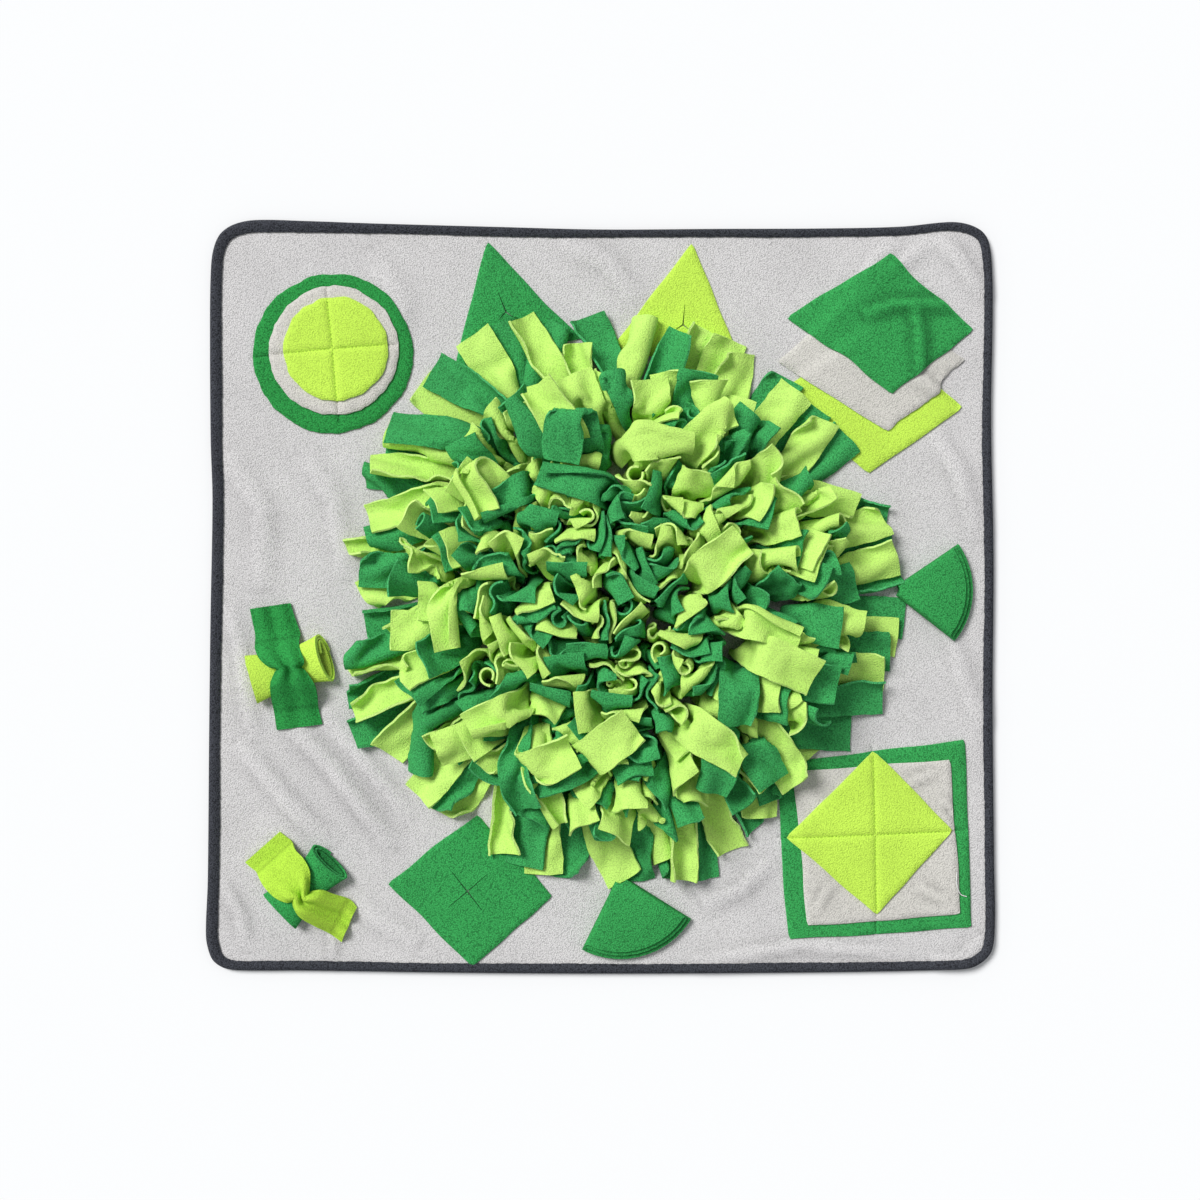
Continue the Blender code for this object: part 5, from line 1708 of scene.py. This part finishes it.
def build_folded_pieces():
    """The two fans, the two rolls and the strap over each roll."""
    build_fan("fan_right", (891, 590), -2.0, 36.0, 0.064, 0.0075)
    build_fan("fan_bottom", (620, 875), -74.0, 42.0, 0.066, 0.0075)
    build_roll("roll_lime", LIME, ((250.3, 680.6), (332.0, 656.5)), 0.0222, 0.0165, 2.4, 0.0026)
    build_roll("roll_green", GREEN, ((279.5, 913), (335.5, 857.5)), 0.0215, 0.0165, 2.1, 0.0033)
    build_strap("strap_green", DEEP_GREEN, GREEN_STRAP, 0.041, 2.0, (0.25, 0.86))
    build_strap("strap_lime", DEEP_LIME, LIME_STRAP, 0.042, 2.0, (0.125, 0.90))


# ---------------------------------------------------------------- the pile


def cut_by_hand(fine):
    """Makes the long edges of the strips and their ends wander, as scissors leave them."""
    random = np.random.default_rng(CUT_SEED)
    count, rows, columns = fine.shape[:3]
    along = np.linspace(0.0, 1.0, rows)
    sideways = fine[:, :, -1] - fine[:, :, 0]
    sideways /= np.linalg.norm(sideways, axis=-1, keepdims=True) + 1e-9
    endways = fine[:, -1] - fine[:, -2]
    endways /= np.linalg.norm(endways, axis=-1, keepdims=True) + 1e-9
    wander = np.zeros((2, count, rows))
    for waves in (1.3, 2.9, 5.3, 9.1):
        size = CUT_WANDER / waves**0.5 * random.uniform(-1.0, 1.0, (2, count, 1))
        wander += size * np.sin(2.0 * math.pi * waves * along + random.uniform(0.0, ANY_TURN, (2, count, 1)))
    off = np.linspace(-1.0, 1.0, columns) ** 3
    moved = np.where(off < 0, wander[0][:, :, None], wander[1][:, :, None]) * np.abs(off)
    fine = fine + moved[..., None] * sideways[:, :, None]
    slant = random.uniform(-1.0, 1.0, (count, 1)) * off + random.uniform(-0.5, 0.5, (count, 1)) * off**2
    fine[:, -1] += (END_WANDER * slant)[..., None] * endways
    return fine


def curl_edges(fine, ranks):
    """Lets the free edges of the topmost strips curl up here and there."""
    random = np.random.default_rng(CURL_SEED)
    count, rows, columns = fine.shape[:3]
    along = np.linspace(0.0, 1.0, rows)
    off = np.linspace(-1.0, 1.0, columns)
    size = np.where(ranks >= CROWN_RANK, EDGE_CURL, 0.0)[:, None]
    free = smooth((along - CURL_FROM) / CURL_OVER)
    lifts = []
    for _ in range(2):
        waves = random.uniform(*CURL_WAVES, (count, 1))
        phase = random.uniform(0.0, ANY_TURN, (count, 1))
        swell = 0.5 + 0.5 * np.sin(2.0 * math.pi * waves * along + phase)
        lifts.append((size * swell * free)[:, :, None])
    fine[..., 2] += np.where(off < 0, lifts[0], lifts[1]) * np.abs(off) ** 2.2
    return fine


def build_pile(land):
    """The pile, settled on what is laid, as four pieces: green and lime, its outer half and its inner."""
    shapes, lengths, grows, hold, ranks, colours = lay_out_pile()

    def ground(points):
        return land.at(points[:, 0], points[:, 1])

    coarse = settle_pile(shapes, lengths, grows, hold, ranks, ground)
    fine = settle_finely(coarse, lengths, ranks, ground)
    fine = curl_edges(cut_by_hand(fine), ranks)
    rings = [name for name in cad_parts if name.startswith("pile_ring")]
    rows = fine.shape[1]
    # Painted shade towards each strip's root, deep in the pile where its shade falls
    deep = 1.0 - smooth(np.arange(rows) / (rows - 1) / ROOT_SHADE_REACH)
    painted_shade = np.broadcast_to(ROOT_PAINTED_SHADE * deep[None, :, None], fine.shape[:3])
    outer = np.arange(len(fine)) < len(fine) // 2
    for colour, looks in ((GREEN, PILE_GREEN), (LIME, PILE_LIME)):
        for part, half, nodes in (("outer", outer, rings), ("inner", ~outer, [])):
            chosen = half & np.array([name == colour for name in colours])
            made = strips_mesh("pile_" + colour + "_" + part, fine[chosen], FLEECE, painted_shade[chosen])
            finish_piece(made, looks, nodes)


# ---------------------------------------------------------------- the stage


def build_stage():
    """The paper that the mat lies on, the light, and the camera straight above."""
    scene = bpy.context.scene

    def add(name, data):
        made = bpy.data.objects.new(name, data)
        scene.collection.objects.link(made)
        return made

    floor_mesh = bpy.data.meshes.new("floor")
    corners = [(-1, -1), (1, -1), (1, 1), (-1, 1)]
    floor_mesh.from_pydata([(x * FLOOR_HALF, y * FLOOR_HALF, 0) for x, y in corners], [], [(0, 1, 2, 3)])
    floor = add("floor", floor_mesh)
    paper = bpy.data.materials.new("paper")
    paper.use_nodes = True
    looks = {"Base Color": PAPER, "Roughness": 0.9, "Specular IOR Level": 0.1}
    plug(paper.node_tree.nodes["Principled BSDF"], looks)
    floor_mesh.materials.append(paper)
    scene.world = bpy.data.worlds.new("studio")
    scene.world.use_nodes = True
    plug(scene.world.node_tree.nodes["Background"], {"Color": SKY, "Strength": SKY_STRENGTH})
    light = bpy.data.lights.new("sun", "SUN")
    light.energy = SUN_STRENGTH
    light.angle = math.radians(SUN_SPREAD)
    lamp = add("sun", light)
    lamp.rotation_mode = "QUATERNION"
    lamp.rotation_quaternion = (-Vector(SUN_FROM)).to_track_quat("-Z", "Y")
    lens = bpy.data.cameras.new("camera")
    lens.lens = LENS
    lens.sensor_width = SENSOR
    camera = add("camera", lens)
    middle = on_mat((PHOTO_SIDE / 2, PHOTO_SIDE / 2))
    camera.location = (middle[0], middle[1], CAMERA_HEIGHT)
    scene.camera = camera
    scene.view_settings.view_transform = "Standard"


build_stage()
LAND = Land()
build_panel(LAND)
build_binding(LAND)
build_sewn_pieces(LAND)
build_stitching(LAND)
build_stray_thread(LAND)
build_folded_pieces()
build_pile(LAND)
